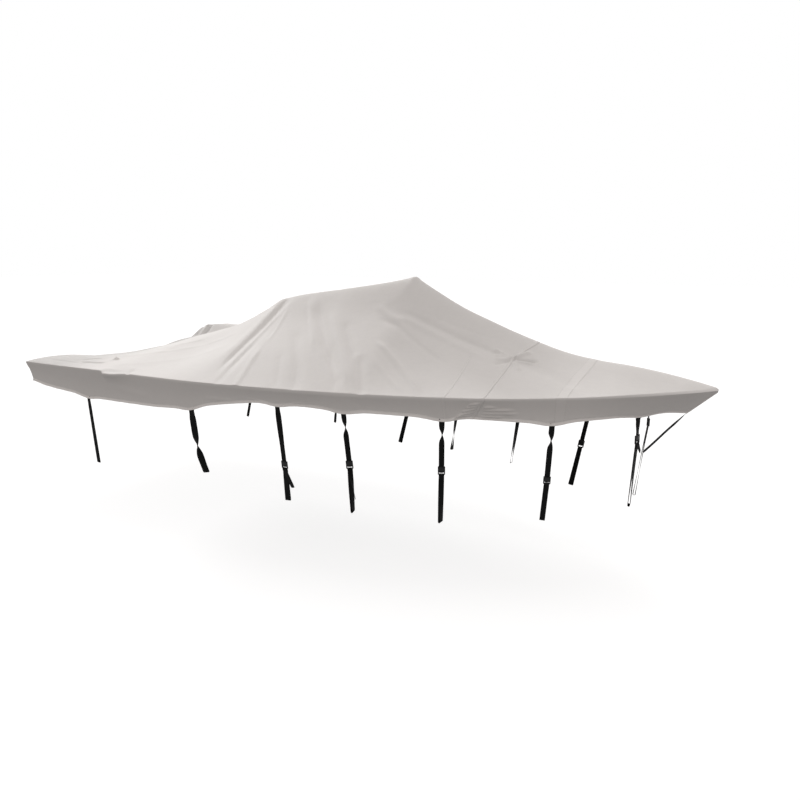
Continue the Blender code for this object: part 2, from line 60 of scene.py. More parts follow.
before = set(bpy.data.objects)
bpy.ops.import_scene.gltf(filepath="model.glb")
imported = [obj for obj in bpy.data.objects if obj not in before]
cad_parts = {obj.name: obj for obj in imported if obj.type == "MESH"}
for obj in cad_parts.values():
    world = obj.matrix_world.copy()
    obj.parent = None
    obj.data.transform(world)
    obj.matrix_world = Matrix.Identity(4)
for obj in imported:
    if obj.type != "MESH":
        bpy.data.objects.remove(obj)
CAD_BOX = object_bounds()

# Hull under the cover
LENGTH = 5.40
HALF_BEAM_STERN = 1.147
HALF_BEAM = 1.199
WIDEST_AT = 0.405
BOW_FULLNESS = 2.46
BOW_BLUNTNESS = 0.884
SHEER_DROP = -0.035
SHEER_RISE = 0.098
BULGE_AFT = (0.940, 0.045)
BULGE_FORE = (1.270, 0.240)
BULGE_OUT = 0.024
BULGE_DROP = 0.012
BULGE_INSIDE = (0.945, 0.05)  # as a share of the half beam, where it starts and how far it takes to grow

# Cloth
CLOTH = 0.003
EDGE = 0.022
RIDGE_RADIUS = 0.04
PEAK_SOFTENING = 0.18  # how far the corner at the peak spreads, away from the ridge
PEAK_SOFT_AT = 0.30
PEAK_SOFT_FROM = 2.6
KNEE_SOFTNESS = 0.06
STEM_SETBACK = 0.175
STEM_FROM = 4.30
SKIRT_LEAN = 0.05
TRANSOM_LEAN = 0.085
BOW_END = 5.385
STEM_NOSE = 0.012
PEAK_X = 3.15

# Seams across the cover: a place, its shift at the ridge fading out at bend, how far along that shift reaches,
# and a doubled strip of the given width whose fore edge is ahead of the place. Each starts this far from the
# ridge, and dark is how much painted shade darkens its groove.
SeamLine = namedtuple("SeamLine", "x at_ridge bend reach width ahead rise groove starts dark")
SEAMS = (
    SeamLine(4.070, 0.100, 0.33, 0.50, 0.024, 0.000, 0.0014, 0.0022, -1.0, 0.15),
    SeamLine(4.555, 0.045, 0.60, 0.40, 0.066, -0.007, 0.0010, 0.0002, -1.0, 0.03),
    SeamLine(3.830, -0.060, 0.97, 0.12, 0.022, 0.000, 0.0008, 0.0010, 0.40, 0.05),
)
SEAM_1, SEAM_2 = (seam.x for seam in SEAMS[:2])
GROOVE_WIDTH = 0.0040
STRIP_EDGE = 0.004
STRIP_PAST = 0.001
SEAM_FADE = 0.10
SEAM_1_SLANT = 0.085
SEAM_1_SLANT_REACH = 0.22
SKIRT_TUCK = 0.005
TUCK_FADE = 0.5  # how far from the stem the skirt's tuck and its wrinkles fade
RELIEF_FADE = 0.1
RELIEF_FROM = 0.06
HEM_FLARE = 0.005
HEM_FLARE_HEIGHT = 0.016
# Slow waves in the skirt, full at the hem: height, turns in radians for each metre, and where they start
HEM_WAVES = ((0.0016, 43, 1.0), (0.0011, 101, 0.4))

# Across the cover at each place: the ridge's height over the gunwale, and the knee, where the steep cloth by the
# ridge turns easy. The knee's place is a share of the half beam and its height a share of the ridge's.
Section = namedtuple("Section", "x rise knee_across knee_share")
SECTIONS = (
    Section(0.00, -0.050, 0.50, 0.50),
    Section(0.27, -0.018, 0.50, 0.50),
    Section(0.66, 0.092, 0.45, 0.50),
    Section(0.86, 0.153, 0.40, 0.52),
    Section(1.40, 0.302, 0.32, 0.60),
    Section(1.74, 0.457, 0.26, 0.68),
    Section(1.90, 0.544, 0.24, 0.70),
    Section(2.06, 0.578, 0.23, 0.70),
    Section(2.51, 0.640, 0.22, 0.70),
    Section(2.95, 0.704, 0.22, 0.67),
    Section(3.10, 0.732, 0.22, 0.66),
    Section(3.15, 0.744, 0.22, 0.66),
    Section(3.20, 0.714, 0.22, 0.66),
    Section(3.32, 0.643, 0.22, 0.64),
    Section(3.57, 0.508, 0.23, 0.60),
    Section(3.75, 0.431, 0.25, 0.57),
    Section(4.06, 0.307, 0.32, 0.53),
    Section(4.40, 0.195, 0.38, 0.55),
    Section(4.61, 0.155, 0.40, 0.56),
    Section(4.82, 0.128, 0.42, 0.57),
    Section(5.02, 0.093, 0.45, 0.55),
    Section(5.22, 0.049, 0.45, 0.55),
    Section(5.40, 0.004, 0.50, 0.50),
)

# How far the cloth hangs between the ridge and the gunwale, and how far its edge drops over the gunwale
Slack = namedtuple("Slack", "x sag drop")
SLACK = (
    Slack(1.00, 0.000, 0.000),
    Slack(1.50, 0.045, 0.009),
    Slack(1.95, 0.046, 0.017),
    Slack(2.25, 0.026, 0.017),
    Slack(2.60, 0.016, 0.013),
    Slack(3.00, 0.012, 0.011),
    Slack(3.30, 0.010, 0.009),
    Slack(3.70, 0.008, 0.007),
    Slack(4.15, 0.008, 0.009),
    Slack(4.60, 0.014, 0.0075),
    Slack(5.00, 0.005, 0.002),
    Slack(5.20, 0.000, 0.000),
)
DROP_FROM = 0.55
SAG_CARRIES = (1.28, 1.64)

# How deep the side skirts hang. Each strap pulls the hem down by STRAP_PULL.
Skirt = namedtuple("Skirt", "x depth")
SKIRTS = (
    Skirt(0.00, 0.172),
    Skirt(0.20, 0.205),
    Skirt(0.60, 0.232),
    Skirt(1.00, 0.250),
    Skirt(1.40, 0.250),
    Skirt(1.70, 0.235),
    Skirt(2.00, 0.186),
    Skirt(2.30, 0.142),
    Skirt(2.55, 0.117),
    Skirt(2.95, 0.125),
    Skirt(3.40, 0.136),
    Skirt(4.00, 0.152),
    Skirt(4.50, 0.170),
    Skirt(4.90, 0.164),
    Skirt(5.08, 0.154),
    Skirt(5.25, 0.160),
    Skirt(5.40, 0.184),
)
STRAP_PULL = 0.022
STRAP_PULL_WIDTH = 0.11

# Folds and creases on the top. Each is a line on the plan of the starboard side, from its upper end, bowed
# toward the bow by bow, and has its own width on its aft and fore sides. Widths and height grow by taper
# along it. A height below zero is a hollow.
Crease = namedtuple("Crease", "x0 y0 x1 y1 bow aft fore taper height")
CREASES = (
    # deep fold below the low peak
    Crease(1.962, 0.06, 2.032, -1.10, -0.015, 0.037, 0.066, 0.52, -0.025),
    Crease(1.870, -0.12, 1.915, -0.98, 0.000, 0.100, 0.050, 0.80, 0.005),
    # short folds forward of it
    Crease(2.055, -0.22, 2.114, -1.10, 0.000, 0.020, 0.034, 1.20, -0.0065),
    Crease(2.090, -0.62, 2.130, -1.26, 0.000, 0.026, 0.042, 1.00, -0.005),
    Crease(2.080, -0.20, 2.220, -0.70, 0.004, 0.016, 0.018, 1.00, 0.0046),
    Crease(2.150, -0.54, 2.255, -0.98, 0.000, 0.030, 0.025, 1.00, 0.0025),
    Crease(2.195, -0.74, 2.330, -1.28, 0.000, 0.034, 0.022, 1.00, 0.0065),
    Crease(2.190, -0.15, 2.320, -0.32, 0.000, 0.012, 0.014, 1.00, 0.0016),
    # long folds fanning from the low peak to the gunwale
    Crease(2.210, -0.060, 2.700, -0.780, -0.007, 0.014, 0.055, 1.10, 0.0094),
    Crease(2.330, -0.160, 3.020, -1.000, 0.000, 0.039, 0.029, 1.00, -0.0125),
    Crease(2.770, -0.630, 3.120, -1.160, 0.000, 0.028, 0.032, 1.00, -0.0075),
    Crease(2.510, -0.230, 3.220, -1.140, 0.000, 0.022, 0.064, 1.00, 0.0112),
    Crease(3.080, -0.760, 3.310, -1.160, 0.000, 0.028, 0.037, 1.00, -0.0088),
    Crease(2.740, -0.400, 3.090, -0.840, 0.000, 0.029, 0.041, 1.00, -0.0075),
    Crease(2.330, -0.490, 2.840, -1.220, 0.019, 0.039, 0.051, 1.00, -0.0100),
    Crease(2.420, -0.800, 2.660, -1.190, 0.000, 0.020, 0.026, 1.00, -0.0037),
    # folds round the knee of the front slope
    Crease(2.940, -0.240, 3.260, -0.380, -0.026, 0.026, 0.028, 1.00, 0.0054),
    Crease(3.120, -0.360, 3.940, -0.400, 0.045, 0.028, 0.032, 1.00, 0.0068),
    Crease(3.100, -0.310, 4.080, -0.315, 0.050, 0.033, 0.020, 1.00, -0.0081),
    Crease(3.340, -0.205, 3.920, -0.165, 0.005, 0.017, 0.011, 1.00, -0.0020),
    Crease(3.000, -0.370, 3.700, -0.610, 0.017, 0.029, 0.020, 1.00, -0.0068),
    Crease(3.110, -0.610, 3.670, -1.010, 0.035, 0.022, 0.024, 1.00, 0.0095),
    Crease(3.180, -0.770, 3.560, -1.030, -0.005, 0.017, 0.018, 1.00, 0.0041),
    # wrinkles where the first seam crosses the knee
    Crease(4.040, -0.322, 4.240, -0.262, 0.000, 0.013, 0.013, 1.20, -0.0175),
    Crease(4.060, -0.320, 4.220, -0.300, 0.000, 0.012, 0.012, 1.00, 0.0108),
    Crease(4.050, -0.330, 4.165, -0.170, 0.000, 0.013, 0.013, 1.00, 0.0162),
    Crease(4.080, -0.318, 3.900, -0.256, 0.000, 0.012, 0.012, 1.00, 0.0162),
    Crease(4.080, -0.322, 3.930, -0.310, 0.000, 0.015, 0.015, 1.00, 0.0108),
    Crease(4.080, -0.326, 3.940, -0.365, 0.000, 0.015, 0.015, 1.00, 0.0108),
    Crease(4.075, -0.330, 3.960, -0.440, 0.000, 0.015, 0.015, 1.00, -0.0086),
    Crease(4.060, -0.330, 4.170, -0.450, 0.000, 0.015, 0.015, 1.00, 0.0086),
    Crease(4.080, -0.300, 4.640, -0.520, 0.000, 0.050, 0.070, 1.00, -0.0070),
    # slack folds at the stern
    Crease(0.640, -0.800, 1.240, -1.150, 0.000, 0.050, 0.050, 1.00, 0.005),
    Crease(1.020, -0.480, 1.140, -0.640, 0.000, 0.050, 0.060, 1.00, -0.004),
    Crease(1.150, -0.280, 1.400, -0.500, 0.000, 0.060, 0.060, 1.00, -0.004),
    Crease(0.450, -0.880, 1.800, -0.260, 0.020, 0.030, 0.045, 1.00, 0.004),
    Crease(0.880, -1.060, 1.920, -0.560, 0.010, 0.032, 0.050, 1.00, 0.0025),
    Crease(0.350, -0.760, 1.300, -0.200, 0.000, 0.028, 0.045, 1.00, 0.0035),
    Crease(0.060, -1.010, 0.560, -1.050, 0.000, 0.016, 0.016, 1.00, -0.005),
    Crease(0.030, -0.820, 0.450, -0.850, 0.000, 0.016, 0.016, 1.00, -0.005),
    Crease(0.500, -1.015, 0.780, -0.992, 0.000, 0.013, 0.013, 1.00, -0.010),
    Crease(0.430, -0.935, 0.610, -0.845, 0.000, 0.013, 0.013, 1.00, -0.009),
    Crease(0.360, -0.990, 0.540, -0.895, 0.000, 0.012, 0.012, 1.00, -0.006),
    Crease(0.560, -1.065, 0.800, -0.965, 0.000, 0.012, 0.012, 1.00, -0.006),
    # a pucker at the fore end of the bulge
    Crease(1.205, -1.060, 1.275, -1.290, 0.000, 0.013, 0.013, 1.00, -0.010),
)
PORT_FOLD_SHARE = 0.6  # the height that folds have to port
CREASE_END = 0.22

# A small raised fitting under the cloth near the stern
FITTING_AT = (0.790, -0.878)
FITTING_SIZE = 0.020
FITTING_HEIGHT = 0.024

# Where the painted shadow of the motor on the stern's top is full, and where it ends
STERN_SHADOW = (0.30, 0.90)

# The boxy shape under the cloth at the port quarter: its top's reach along and across, its height, and how
# steeply it falls aft, forward, inboard and outboard
LUMP_X = (0.415, 1.05)
LUMP_Y = (0.58, 0.94)
LUMP_HEIGHT = 0.226
LUMP_SLOPE = (4.5, 0.42, 0.55, 1.05)
LUMP_ROUNDING = 0.05
LUMP_SOFTNESS = 0.022
LUMP_TILT = 0.10
LUMP_AFT_SET = 0.03
LUMP_EDGE = 0.05

# Folds up the inner face of that shape
LUMP_CREASES = (
    Crease(0.612, 0.400, 0.527, 0.660, 0.000, 0.016, 0.018, 1.00, -0.044),
    Crease(0.505, 0.380, 0.435, 0.640, 0.000, 0.014, 0.016, 1.00, -0.030),
    Crease(0.700, 0.620, 0.620, 0.800, 0.000, 0.020, 0.030, 1.00, 0.006),
)

# Wrinkles on the skirt: places along it, and how far down from its fold as shares
SkirtCrease = namedtuple("SkirtCrease", "x0 down0 x1 down1 width height")
SKIRT_SCALE = 0.15
SKIRT_CREASE_END = 0.3
SKIRT_CREASES = (
    SkirtCrease(3.975, 0.22, 4.060, 0.12, 0.009, 0.0125),
    SkirtCrease(3.965, 0.38, 4.058, 0.26, 0.009, 0.0125),
    SkirtCrease(3.935, 0.60, 4.056, 0.40, 0.009, 0.0150),
    SkirtCrease(3.895, 0.84, 4.050, 0.56, 0.009, 0.0170),
    SkirtCrease(3.860, 0.92, 4.040, 0.76, 0.009, 0.0140),
    SkirtCrease(4.080, 0.34, 4.155, 0.32, 0.009, 0.0125),
    SkirtCrease(4.080, 0.50, 4.260, 0.44, 0.009, 0.0125),
    SkirtCrease(4.080, 0.68, 4.280, 0.60, 0.009, 0.0125),
    SkirtCrease(4.080, 0.86, 4.220, 0.80, 0.009, 0.0100),
    SkirtCrease(2.560, 0.95, 2.900, 0.70, 0.010, 0.0030),
    SkirtCrease(2.350, 0.70, 2.600, 0.92, 0.010, 0.0030),
    SkirtCrease(3.000, 0.80, 3.420, 0.95, 0.010, 0.0030),
    SkirtCrease(4.560, 0.78, 4.900, 0.92, 0.010, 0.0025),
    SkirtCrease(4.380, 0.95, 4.500, 0.72, 0.009, 0.0030),
    SkirtCrease(1.950, 0.60, 2.300, 0.85, 0.014, 0.0035),
    SkirtCrease(0.900, 0.40, 1.500, 0.70, 0.022, 0.0040),
)

# The slack stern
STERN_DECK = 0.030
STERN_DECK_AT = 0.82
STERN_DECK_HALF = 0.34
STERN_FADE = 1.1
MOTOR_GAP = (0.26, 0.36)
MOTOR_SKIRT = 0.05

# Straps
TAB_RISE = 0.045
TAB_BELOW = 0.010
LOOP_AT_BUCKLE = 0.004
LOOP_AT_END = 0.016
STRAIGHT = 0.012
TAIL_CLEAR = 0.004
TWIST_SPREAD = 0.25
BUCKLE_LENGTH = 0.062
BUCKLE_WIDTH = 0.050
BUCKLE_DEPTH = 0.014
RAIL_WIDTH = 0.007
RAIL_BEVEL = 0.0022
BAR_BEVEL = 0.0018
THUMB_COLUMNS, THUMB_ROWS = 12, 9
THUMB_SETBACK = 0.0052
THUMB_BOW = 0.0026
THUMB_CROWN = 0.0024
THUMB_THICK = 0.0028
GRIPS = 4
GRIP_STEP = 0.0042
GRIP_BEVEL = 0.0006
STRAP_IN_BUCKLE = 0.008
LOOP_IN_BUCKLE = 0.006

# From the stern: where a strap leaves the hem, a bend on its way, its buckle, its lower end, its width, how far
# it is turned in degrees at the hem, the buckle and the end, and the share of its way at which it twists
Strap = namedtuple("Strap", "name hem_x bend buckle end width turn_hem turn_buckle turn_end twist_at")
STRAPS = (
    Strap("1", 0.703, None, None, (0.640, -1.010, -0.850), 0.038, 0, 0, 5, 0.50),
    Strap("2", 1.832, (1.783, -1.040, -0.560), None, (1.800, -0.970, -0.780), 0.050, 25, 0, -150, 0.62),
    Strap("3", 2.622, None, (2.602, -1.035, -0.585), (2.566, -0.950, -0.889), 0.040, 24, 0, 15, 0.50),
    Strap("4", 3.136, None, (3.136, -1.012, -0.515), (3.119, -0.940, -0.889), 0.038, 5, -160, -85, 0.30),
    Strap("5", 3.802, None, (3.776, -0.882, -0.500), (3.746, -0.810, -0.898), 0.038, 5, -158, -100, 0.28),
    Strap("6", 4.475, None, (4.410, -0.540, -0.570), (4.366, -0.440, -0.898), 0.038, 20, -165, -168, 0.25),
    Strap("7", 5.090, None, (4.941, -0.285, -0.275), (4.900, -0.120, -0.800), 0.038, 52, 70, 92, 0.50),
)
# The free ends that hang from buckles
Tail = namedtuple("Tail", "strap end turn")
TAILS = (
    Tail("3", (2.640, -0.990, -0.769), -5),
    Tail("4", (3.184, -1.017, -0.759), -65),
    Tail("7", (4.962, -0.238, -0.372), 85),
)
BOW_STRAP_WIDTH = 0.025
BOW_TAB_OUT = 0.0027  # brings the bow strap's sewn end up against the hem
BOW_STRAP = ((5.100, -0.080, -0.246), (5.030, -0.140, -0.325), (4.972, -0.182, -0.388))
BOW_STRAP_FACE = (0.78, -0.55, -0.29)

# Where the camera stands in the boat's frame, and how it looks, in degrees
EYE = (5.518, -5.071, 0.907)
EYE_YAW = 26.17
EYE_PITCH = 11.54
EYE_ROLL = 0.55
GROUND = -1.31
FLOOR_HALF = 60.0


# ---- reading the tables ----


def read(rows, column, x):
    """A table's column at each x: a smooth curve through its rows that never overshoots them."""
    xs = np.array([row.x for row in rows])
    ys = np.array([getattr(row, column) for row in rows])
    steps = np.diff(ys) / np.diff(xs)
    before, after = steps[:-1], steps[1:]
    same = before * after > 0
    both = np.where(same, before + after, 1.0)
    slopes = np.concatenate([steps[:1], np.where(same, 2 * before * after / both, 0.0), steps[-1:]])
    x = np.clip(x, xs[0], xs[-1])
    i = np.clip(np.searchsorted(xs, x, "right") - 1, 0, len(xs) - 2)
    h = xs[i + 1] - xs[i]
    t = (x - xs[i]) / h
    rise = (3 - 2 * t) * t * t
    curve = h * t * (1 - t) * (slopes[i] * (1 - t) - slopes[i + 1] * t)
    return ys[i] * (1 - rise) + ys[i + 1] * rise + curve


def smooth(t):
    """0 below 0, 1 above 1, and an easy curve between."""
    t = np.clip(t, 0.0, 1.0)
    return t * t * (3 - 2 * t)


def soft_max(a, b, softness):
    return (a + b + np.hypot(a - b, softness)) / 2


# ---- the surface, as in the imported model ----


def half_beam(x):
    t = np.clip(np.asarray(x, float) / LENGTH, 0.0, 1.0)
    aft = HALF_BEAM_STERN + (HALF_BEAM - HALF_BEAM_STERN) * np.sin(math.pi / 2 * np.minimum(t / WIDEST_AT, 1))
    u = np.clip((t - WIDEST_AT) / (1 - WIDEST_AT), 0.0, 1.0)
    return np.where(t < WIDEST_AT, aft, HALF_BEAM * (1 - u**BOW_FULLNESS) ** BOW_BLUNTNESS)


def bulge(x, y):
    starts = smooth((x - BULGE_AFT[0]) / BULGE_AFT[1])
    ends = smooth((BULGE_FORE[0] - x) / BULGE_FORE[1])
    return np.where(np.asarray(y) < 0, starts * ends, 0.0)


def sheer(x):
    t = x / LENGTH
    return SHEER_DROP * t + SHEER_RISE * t * t


def profile(across, knee_across, knee_share):
    steep = 1 - across * (1 - knee_share) / knee_across
    easy = knee_share * (1 - across) / (1 - knee_across)
    return np.clip(soft_max(steep, easy, KNEE_SOFTNESS) - KNEE_SOFTNESS**2 / 4, 0.0, 1.0)


def beside(x, y, x0, y0, x1, y1):
    """How far along a line a place is, as a share of it, and how far off it lies, the bow being positive."""
    run = np.array([x1 - x0, y1 - y0])
    size = run @ run
    along = ((x - x0) * run[0] + (y - y0) * run[1]) / size
    off = ((x - x0) * -run[1] + (y - y0) * run[0]) / math.sqrt(size)
    return along, off


def tapered(along, reach):
    """1 along a crease, easing to 0 at its two ends."""
    return smooth(along / reach) * smooth((1 - along) / reach)


def crease_height(x, y):
    """The folds and creases, plainer to port, and the fitting."""
    share = np.where(y <= 0, 1.0, PORT_FOLD_SHARE)
    total = np.zeros_like(x)
    for crease in CREASES:
        along, off = beside(x, -np.abs(y), crease.x0, crease.y0, crease.x1, crease.y1)
        along = np.clip(along, 0, 1)
        off = off - crease.bow * 4 * along * (1 - along)
        size = 1 + (crease.taper - 1) * along
        width = np.where(off < 0, crease.aft, crease.fore) * size
        ends = tapered(along, CREASE_END)
        total += share * crease.height * size * ends * np.exp(-((off / width) ** 2))
    away = np.hypot(x - FITTING_AT[0], y - FITTING_AT[1]) / FITTING_SIZE
    return total + FITTING_HEIGHT * np.exp(-(away**2))


def rise_at(x, y):
    """The ridge's height. The corner at its peak softens away from the ridge."""
    spread = PEAK_SOFTENING * smooth(np.abs(y) / PEAK_SOFT_AT) * smooth((x - PEAK_SOFT_FROM) / 0.3)
    taps = np.linspace(-1, 1, 9)
    weights = (1 - np.abs(taps) * 0.8) / (1 - np.abs(taps) * 0.8).sum()
    return sum(weight * read(SECTIONS, "rise", x + tap * spread) for tap, weight in zip(taps, weights))


def soft_ramp(past):
    """0 before a corner and a straight rise past it, with a rounded corner."""
    return (past + np.hypot(past, LUMP_ROUNDING)) / 2


def lump_height(x, y):
    aft, forward, inboard, outboard = LUMP_SLOPE
    return (
        LUMP_HEIGHT
        - LUMP_TILT * np.maximum(y - LUMP_Y[0], 0)
        - aft * soft_ramp(LUMP_X[0] - x - LUMP_AFT_SET)
        - forward * np.maximum(x - LUMP_X[1], 0)
        - inboard * np.maximum(LUMP_Y[0] - y, 0)
        - outboard * np.maximum(y - LUMP_Y[1], 0)
    )


def top_height(x, y, beam, fine=True):
    """The cloth's height over the hull at a place inside the gunwale."""
    reach = np.hypot(y, RIDGE_RADIUS) - RIDGE_RADIUS
    across = np.minimum(reach / np.maximum(beam - RIDGE_RADIUS / 2, 0.01), 1.0)
    share = profile(across, read(SECTIONS, "knee_across", x), read(SECTIONS, "knee_share", x))
    z = sheer(x) + (rise_at(x, y) if fine else read(SECTIONS, "rise", x)) * share
    deck = 1 - ((np.abs(y) - STERN_DECK_AT) / STERN_DECK_HALF) ** 2
    z = z + STERN_DECK * np.maximum(deck, 0) * (1 - smooth(x / STERN_FADE))
    if fine:
        out = np.clip(np.abs(y) / np.maximum(beam, 0.01), 0, 1)
        hang = read(SLACK, "sag", x) * np.sin(math.pi * out)
        z = z - hang
        z = z - read(SLACK, "drop", x) * smooth((out - DROP_FROM) / (1 - DROP_FROM))
        z = z + crease_height(x + SAG_CARRIES[0] * hang, y + np.sign(y) * SAG_CARRIES[1] * hang)
    z = z - BULGE_DROP * bulge(x, y) * smooth((-y / np.maximum(beam, 0.01) - BULGE_INSIDE[0]) / BULGE_INSIDE[1])
    edge = smooth((beam - y) / LUMP_EDGE)
    z = np.where(y > 0, z + (soft_max(z, lump_height(x, y), LUMP_SOFTNESS) - z) * edge, z)
    if fine:
        for crease in LUMP_CREASES:
            along, off = beside(x, y, crease.x0, crease.y0, crease.x1, crease.y1)
            ends = tapered(along, CREASE_END)
            z = z + crease.height * ends * np.exp(-((off / crease.fore) ** 2))
    return z


def skirt_depth(x):
    pull = sum(np.exp(-(((x - s.hem_x) / STRAP_PULL_WIDTH) ** 2)) for s in STRAPS)
    return read(SKIRTS, "depth", x) + STRAP_PULL * pull


def seam_shift(x, y):
    total = 0.0
    for seam in SEAMS:
        near = np.maximum(0.0, 1 - np.abs(x - seam.x) / seam.reach)
        total = total + seam.at_ridge * near * (1 - smooth(np.abs(y) / seam.bend))
    return total


def seam_marks(x, y):
    """The doubled strips and the painted shade of the grooves at their edges, as masks, and their height over
    the cloth.
    """
    strips, grooves, height = 0.0, 0.0, 0.0
    for seam in SEAMS:
        shown = smooth((np.abs(y) - seam.starts) / SEAM_FADE)
        off = x - seam.x - seam.ahead
        strip = shown * smooth((off + seam.width) / STRIP_EDGE) * smooth((STRIP_PAST - off) / STRIP_EDGE)
        groove = shown * np.exp(-((off / GROOVE_WIDTH) ** 2))
        if seam.ahead:
            groove = groove + shown * np.exp(-(((off + seam.width) / GROOVE_WIDTH) ** 2))
        strips = strips + strip
        # painted shade: the groove's colour is darkened where its fold would shade it
        grooves = grooves + seam.dark * groove
        height = height + seam.rise * strip - seam.groove * groove
    return strips, grooves, height


def top_point(x, y):
    x, y = np.broadcast_arrays(np.asarray(x, float), np.asarray(y, float))
    moved = x + seam_shift(x, y)
    return np.stack([moved, y, top_height(moved, y, half_beam(x)) + seam_marks(x, y)[2]], -1)


def skirt_relief(x, side, down):
    """How far the skirt stands out at its wrinkles, its seams and its slack hem."""
    share = 1.0 if side < 0 else PORT_FOLD_SHARE
    total = seam_marks(x, 1.0)[2] + 0.0
    waves = sum(height * np.sin(turns * x + start) for height, turns, start in HEM_WAVES)
    total = total + waves * np.clip(down, 0, 1) ** 3
    total = total + HEM_FLARE * (1 - smooth((1 - down) * skirt_depth(x) / HEM_FLARE_HEIGHT))
    for crease in SKIRT_CREASES:
        along, off = beside(x, down * SKIRT_SCALE, crease.x0, crease.down0 * SKIRT_SCALE,
                            crease.x1, crease.down1 * SKIRT_SCALE)
        ends = tapered(along, SKIRT_CREASE_END)
        total = total + share * crease.height * ends * np.exp(-((off / crease.width) ** 2))
    return total


def side_point(x, side, down, fine=True):
    """A point of the side skirt: down is 0 just under the gunwale's fold and 1 at the hem."""
    x, down = np.broadcast_arrays(np.asarray(x, float), np.asarray(down, float))
    beam = half_beam(x)
    setback = STEM_SETBACK * smooth((x - STEM_FROM) / (LENGTH - STEM_FROM)) * down
    pushed = bulge(x, side) * np.clip(1 - down, 0, 1) ** 7
    whole = skirt_depth(x)
    depth = EDGE + (whole - EDGE) * down + BULGE_DROP * pushed
    lean = (EDGE + (whole - EDGE) * down) / whole if fine else down
    out = beam * (1 - SKIRT_LEAN * lean) + BULGE_OUT * pushed
    if fine:
        setback = setback + SEAM_1_SLANT * np.maximum(0, 1 - np.abs(x - SEAM_1) / SEAM_1_SLANT_REACH) * down
        out = out - SKIRT_TUCK * np.sin(math.pi * np.clip(down, 0, 1)) * smooth((LENGTH - x) / TUCK_FADE)
        out = out + skirt_relief(x, side, down) * smooth((LENGTH - x) / RELIEF_FADE) * smooth(down / RELIEF_FROM)
    return np.stack([x - setback, side * out, sheer(x) - depth], -1)


def beside_motor(y):
    """0 where the skirt across the stern is cut up round the motor, and 1 beyond it."""
    foot, top = MOTOR_GAP
    return smooth((np.abs(y) - foot) / (top - foot))


def transom_depth(y):
    """The depth of the skirt across the stern."""
    return MOTOR_SKIRT + (skirt_depth(0.0) - MOTOR_SKIRT) * beside_motor(y)


def transom_point(y, down):
    y, down = np.broadcast_arrays(np.asarray(y, float), np.asarray(down, float))
    full = beside_motor(y)
    depth = EDGE + (transom_depth(y) - EDGE) * down
    lean = TRANSOM_LEAN * depth / skirt_depth(0.0)
    narrow = 1 - SKIRT_LEAN * down * full
    level = top_height(np.zeros_like(y), y, half_beam(0.0))
    return np.stack([lean * down, y * narrow, level - depth], -1)


def stem_point(y, down):
    y, down = np.broadcast_arrays(np.asarray(y, float), np.asarray(down, float))
    depth = EDGE + (skirt_depth(BOW_END) - EDGE) * down
    setback = STEM_SETBACK * smooth((BOW_END - STEM_FROM) / (LENGTH - STEM_FROM)) * down
    return np.stack([BOW_END + STEM_NOSE - setback, y, sheer(BOW_END) - depth], -1)


PEAK_UNDERSIDE = float(top_height(np.array(PEAK_X), np.array(0.0), half_beam(PEAK_X), fine=False)) - CLOTH
MOVE = np.array([-PEAK_X, 0.0, -PEAK_UNDERSIDE])


# ---- settings ----


class CoverClothSettings(bpy.types.PropertyGroup):
    """Sizes and colours of the cloth."""

    step: FloatProperty(
        name="Grid step",
        description="Spacing of the cloth's grid",
        default=0.012,
        min=0.006,
        max=0.05,
        unit="LENGTH",
    )
    fold_radius: FloatProperty(
        name="Gunwale fold",
        description="Size of the soft bend where the cloth goes over the gunwale",
        default=0.008,
        min=0.006,
        max=0.06,
        unit="LENGTH",
    )
    hem_roll: FloatProperty(
        name="Hem roll",
        description="Radius of the rolled edge along the hem",
        default=0.0035,
        min=0.001,
        max=0.008,
        unit="LENGTH",
    )
    hem_turn: FloatProperty(
        name="Hem allowance",
        description="Height of the cloth turned up inside the hem",
        default=0.028,
        min=0.01,
        max=0.06,
        unit="LENGTH",
    )
    colour: FloatVectorProperty(
        name="Cloth colour",
        description="Colour of the woven polyester",
        default=(0.74, 0.725, 0.705),
        min=0,
        max=1,
        subtype="COLOR",
    )
    # painted shadow: how dark the motor's shadow on the stern's top is painted into the cloth's colour
    painted_stern_shadow: FloatProperty(
        name="Shaded stern",
        description="Brightness of the soiled cloth at the stern",
        default=0.66,
        min=0,
        max=1,
    )


class StrapSettings(bpy.types.PropertyGroup):
    """Sizes and colours of the webbing and buckles."""

    thickness: FloatProperty(
        name="Webbing thickness",
        description="Thickness of the webbing",
        default=0.0018,
        min=0.001,
        max=0.003,
        unit="LENGTH",
    )
    webbing_colour: FloatVectorProperty(
        name="Webbing colour",
        description="Colour of the straps",
        default=(0.0022, 0.0024, 0.0026),
        min=0,
        max=1,
        subtype="COLOR",
    )
    plastic_colour: FloatVectorProperty(
        name="Buckle colour",
        description="Colour of the moulded buckles",
        default=(0.006, 0.0065, 0.007),
        min=0,
        max=1,
        subtype="COLOR",
    )


class StageSettings(bpy.types.PropertyGroup):
    """Lights, floor and camera."""

    overhead: FloatProperty(
        name="Overhead light", description="Strength of the broad light above", default=0.66, min=0
    )
    low: FloatProperty(
        name="Low light", description="Strength of the light from the port quarter", default=1.61, min=0
    )
    fill: FloatProperty(
        name="Fill", description="Brightness of the even light from all round", default=0.405, min=0
    )
    sky: FloatProperty(
        name="Sky",
        description="How much brighter that light is overhead than at the horizon",
        default=0.26,
        min=0,
    )
    lens: FloatProperty(name="Lens", description="Focal length in millimetres", default=31.5, min=10, max=200)


# ---- the cloth's mesh ----

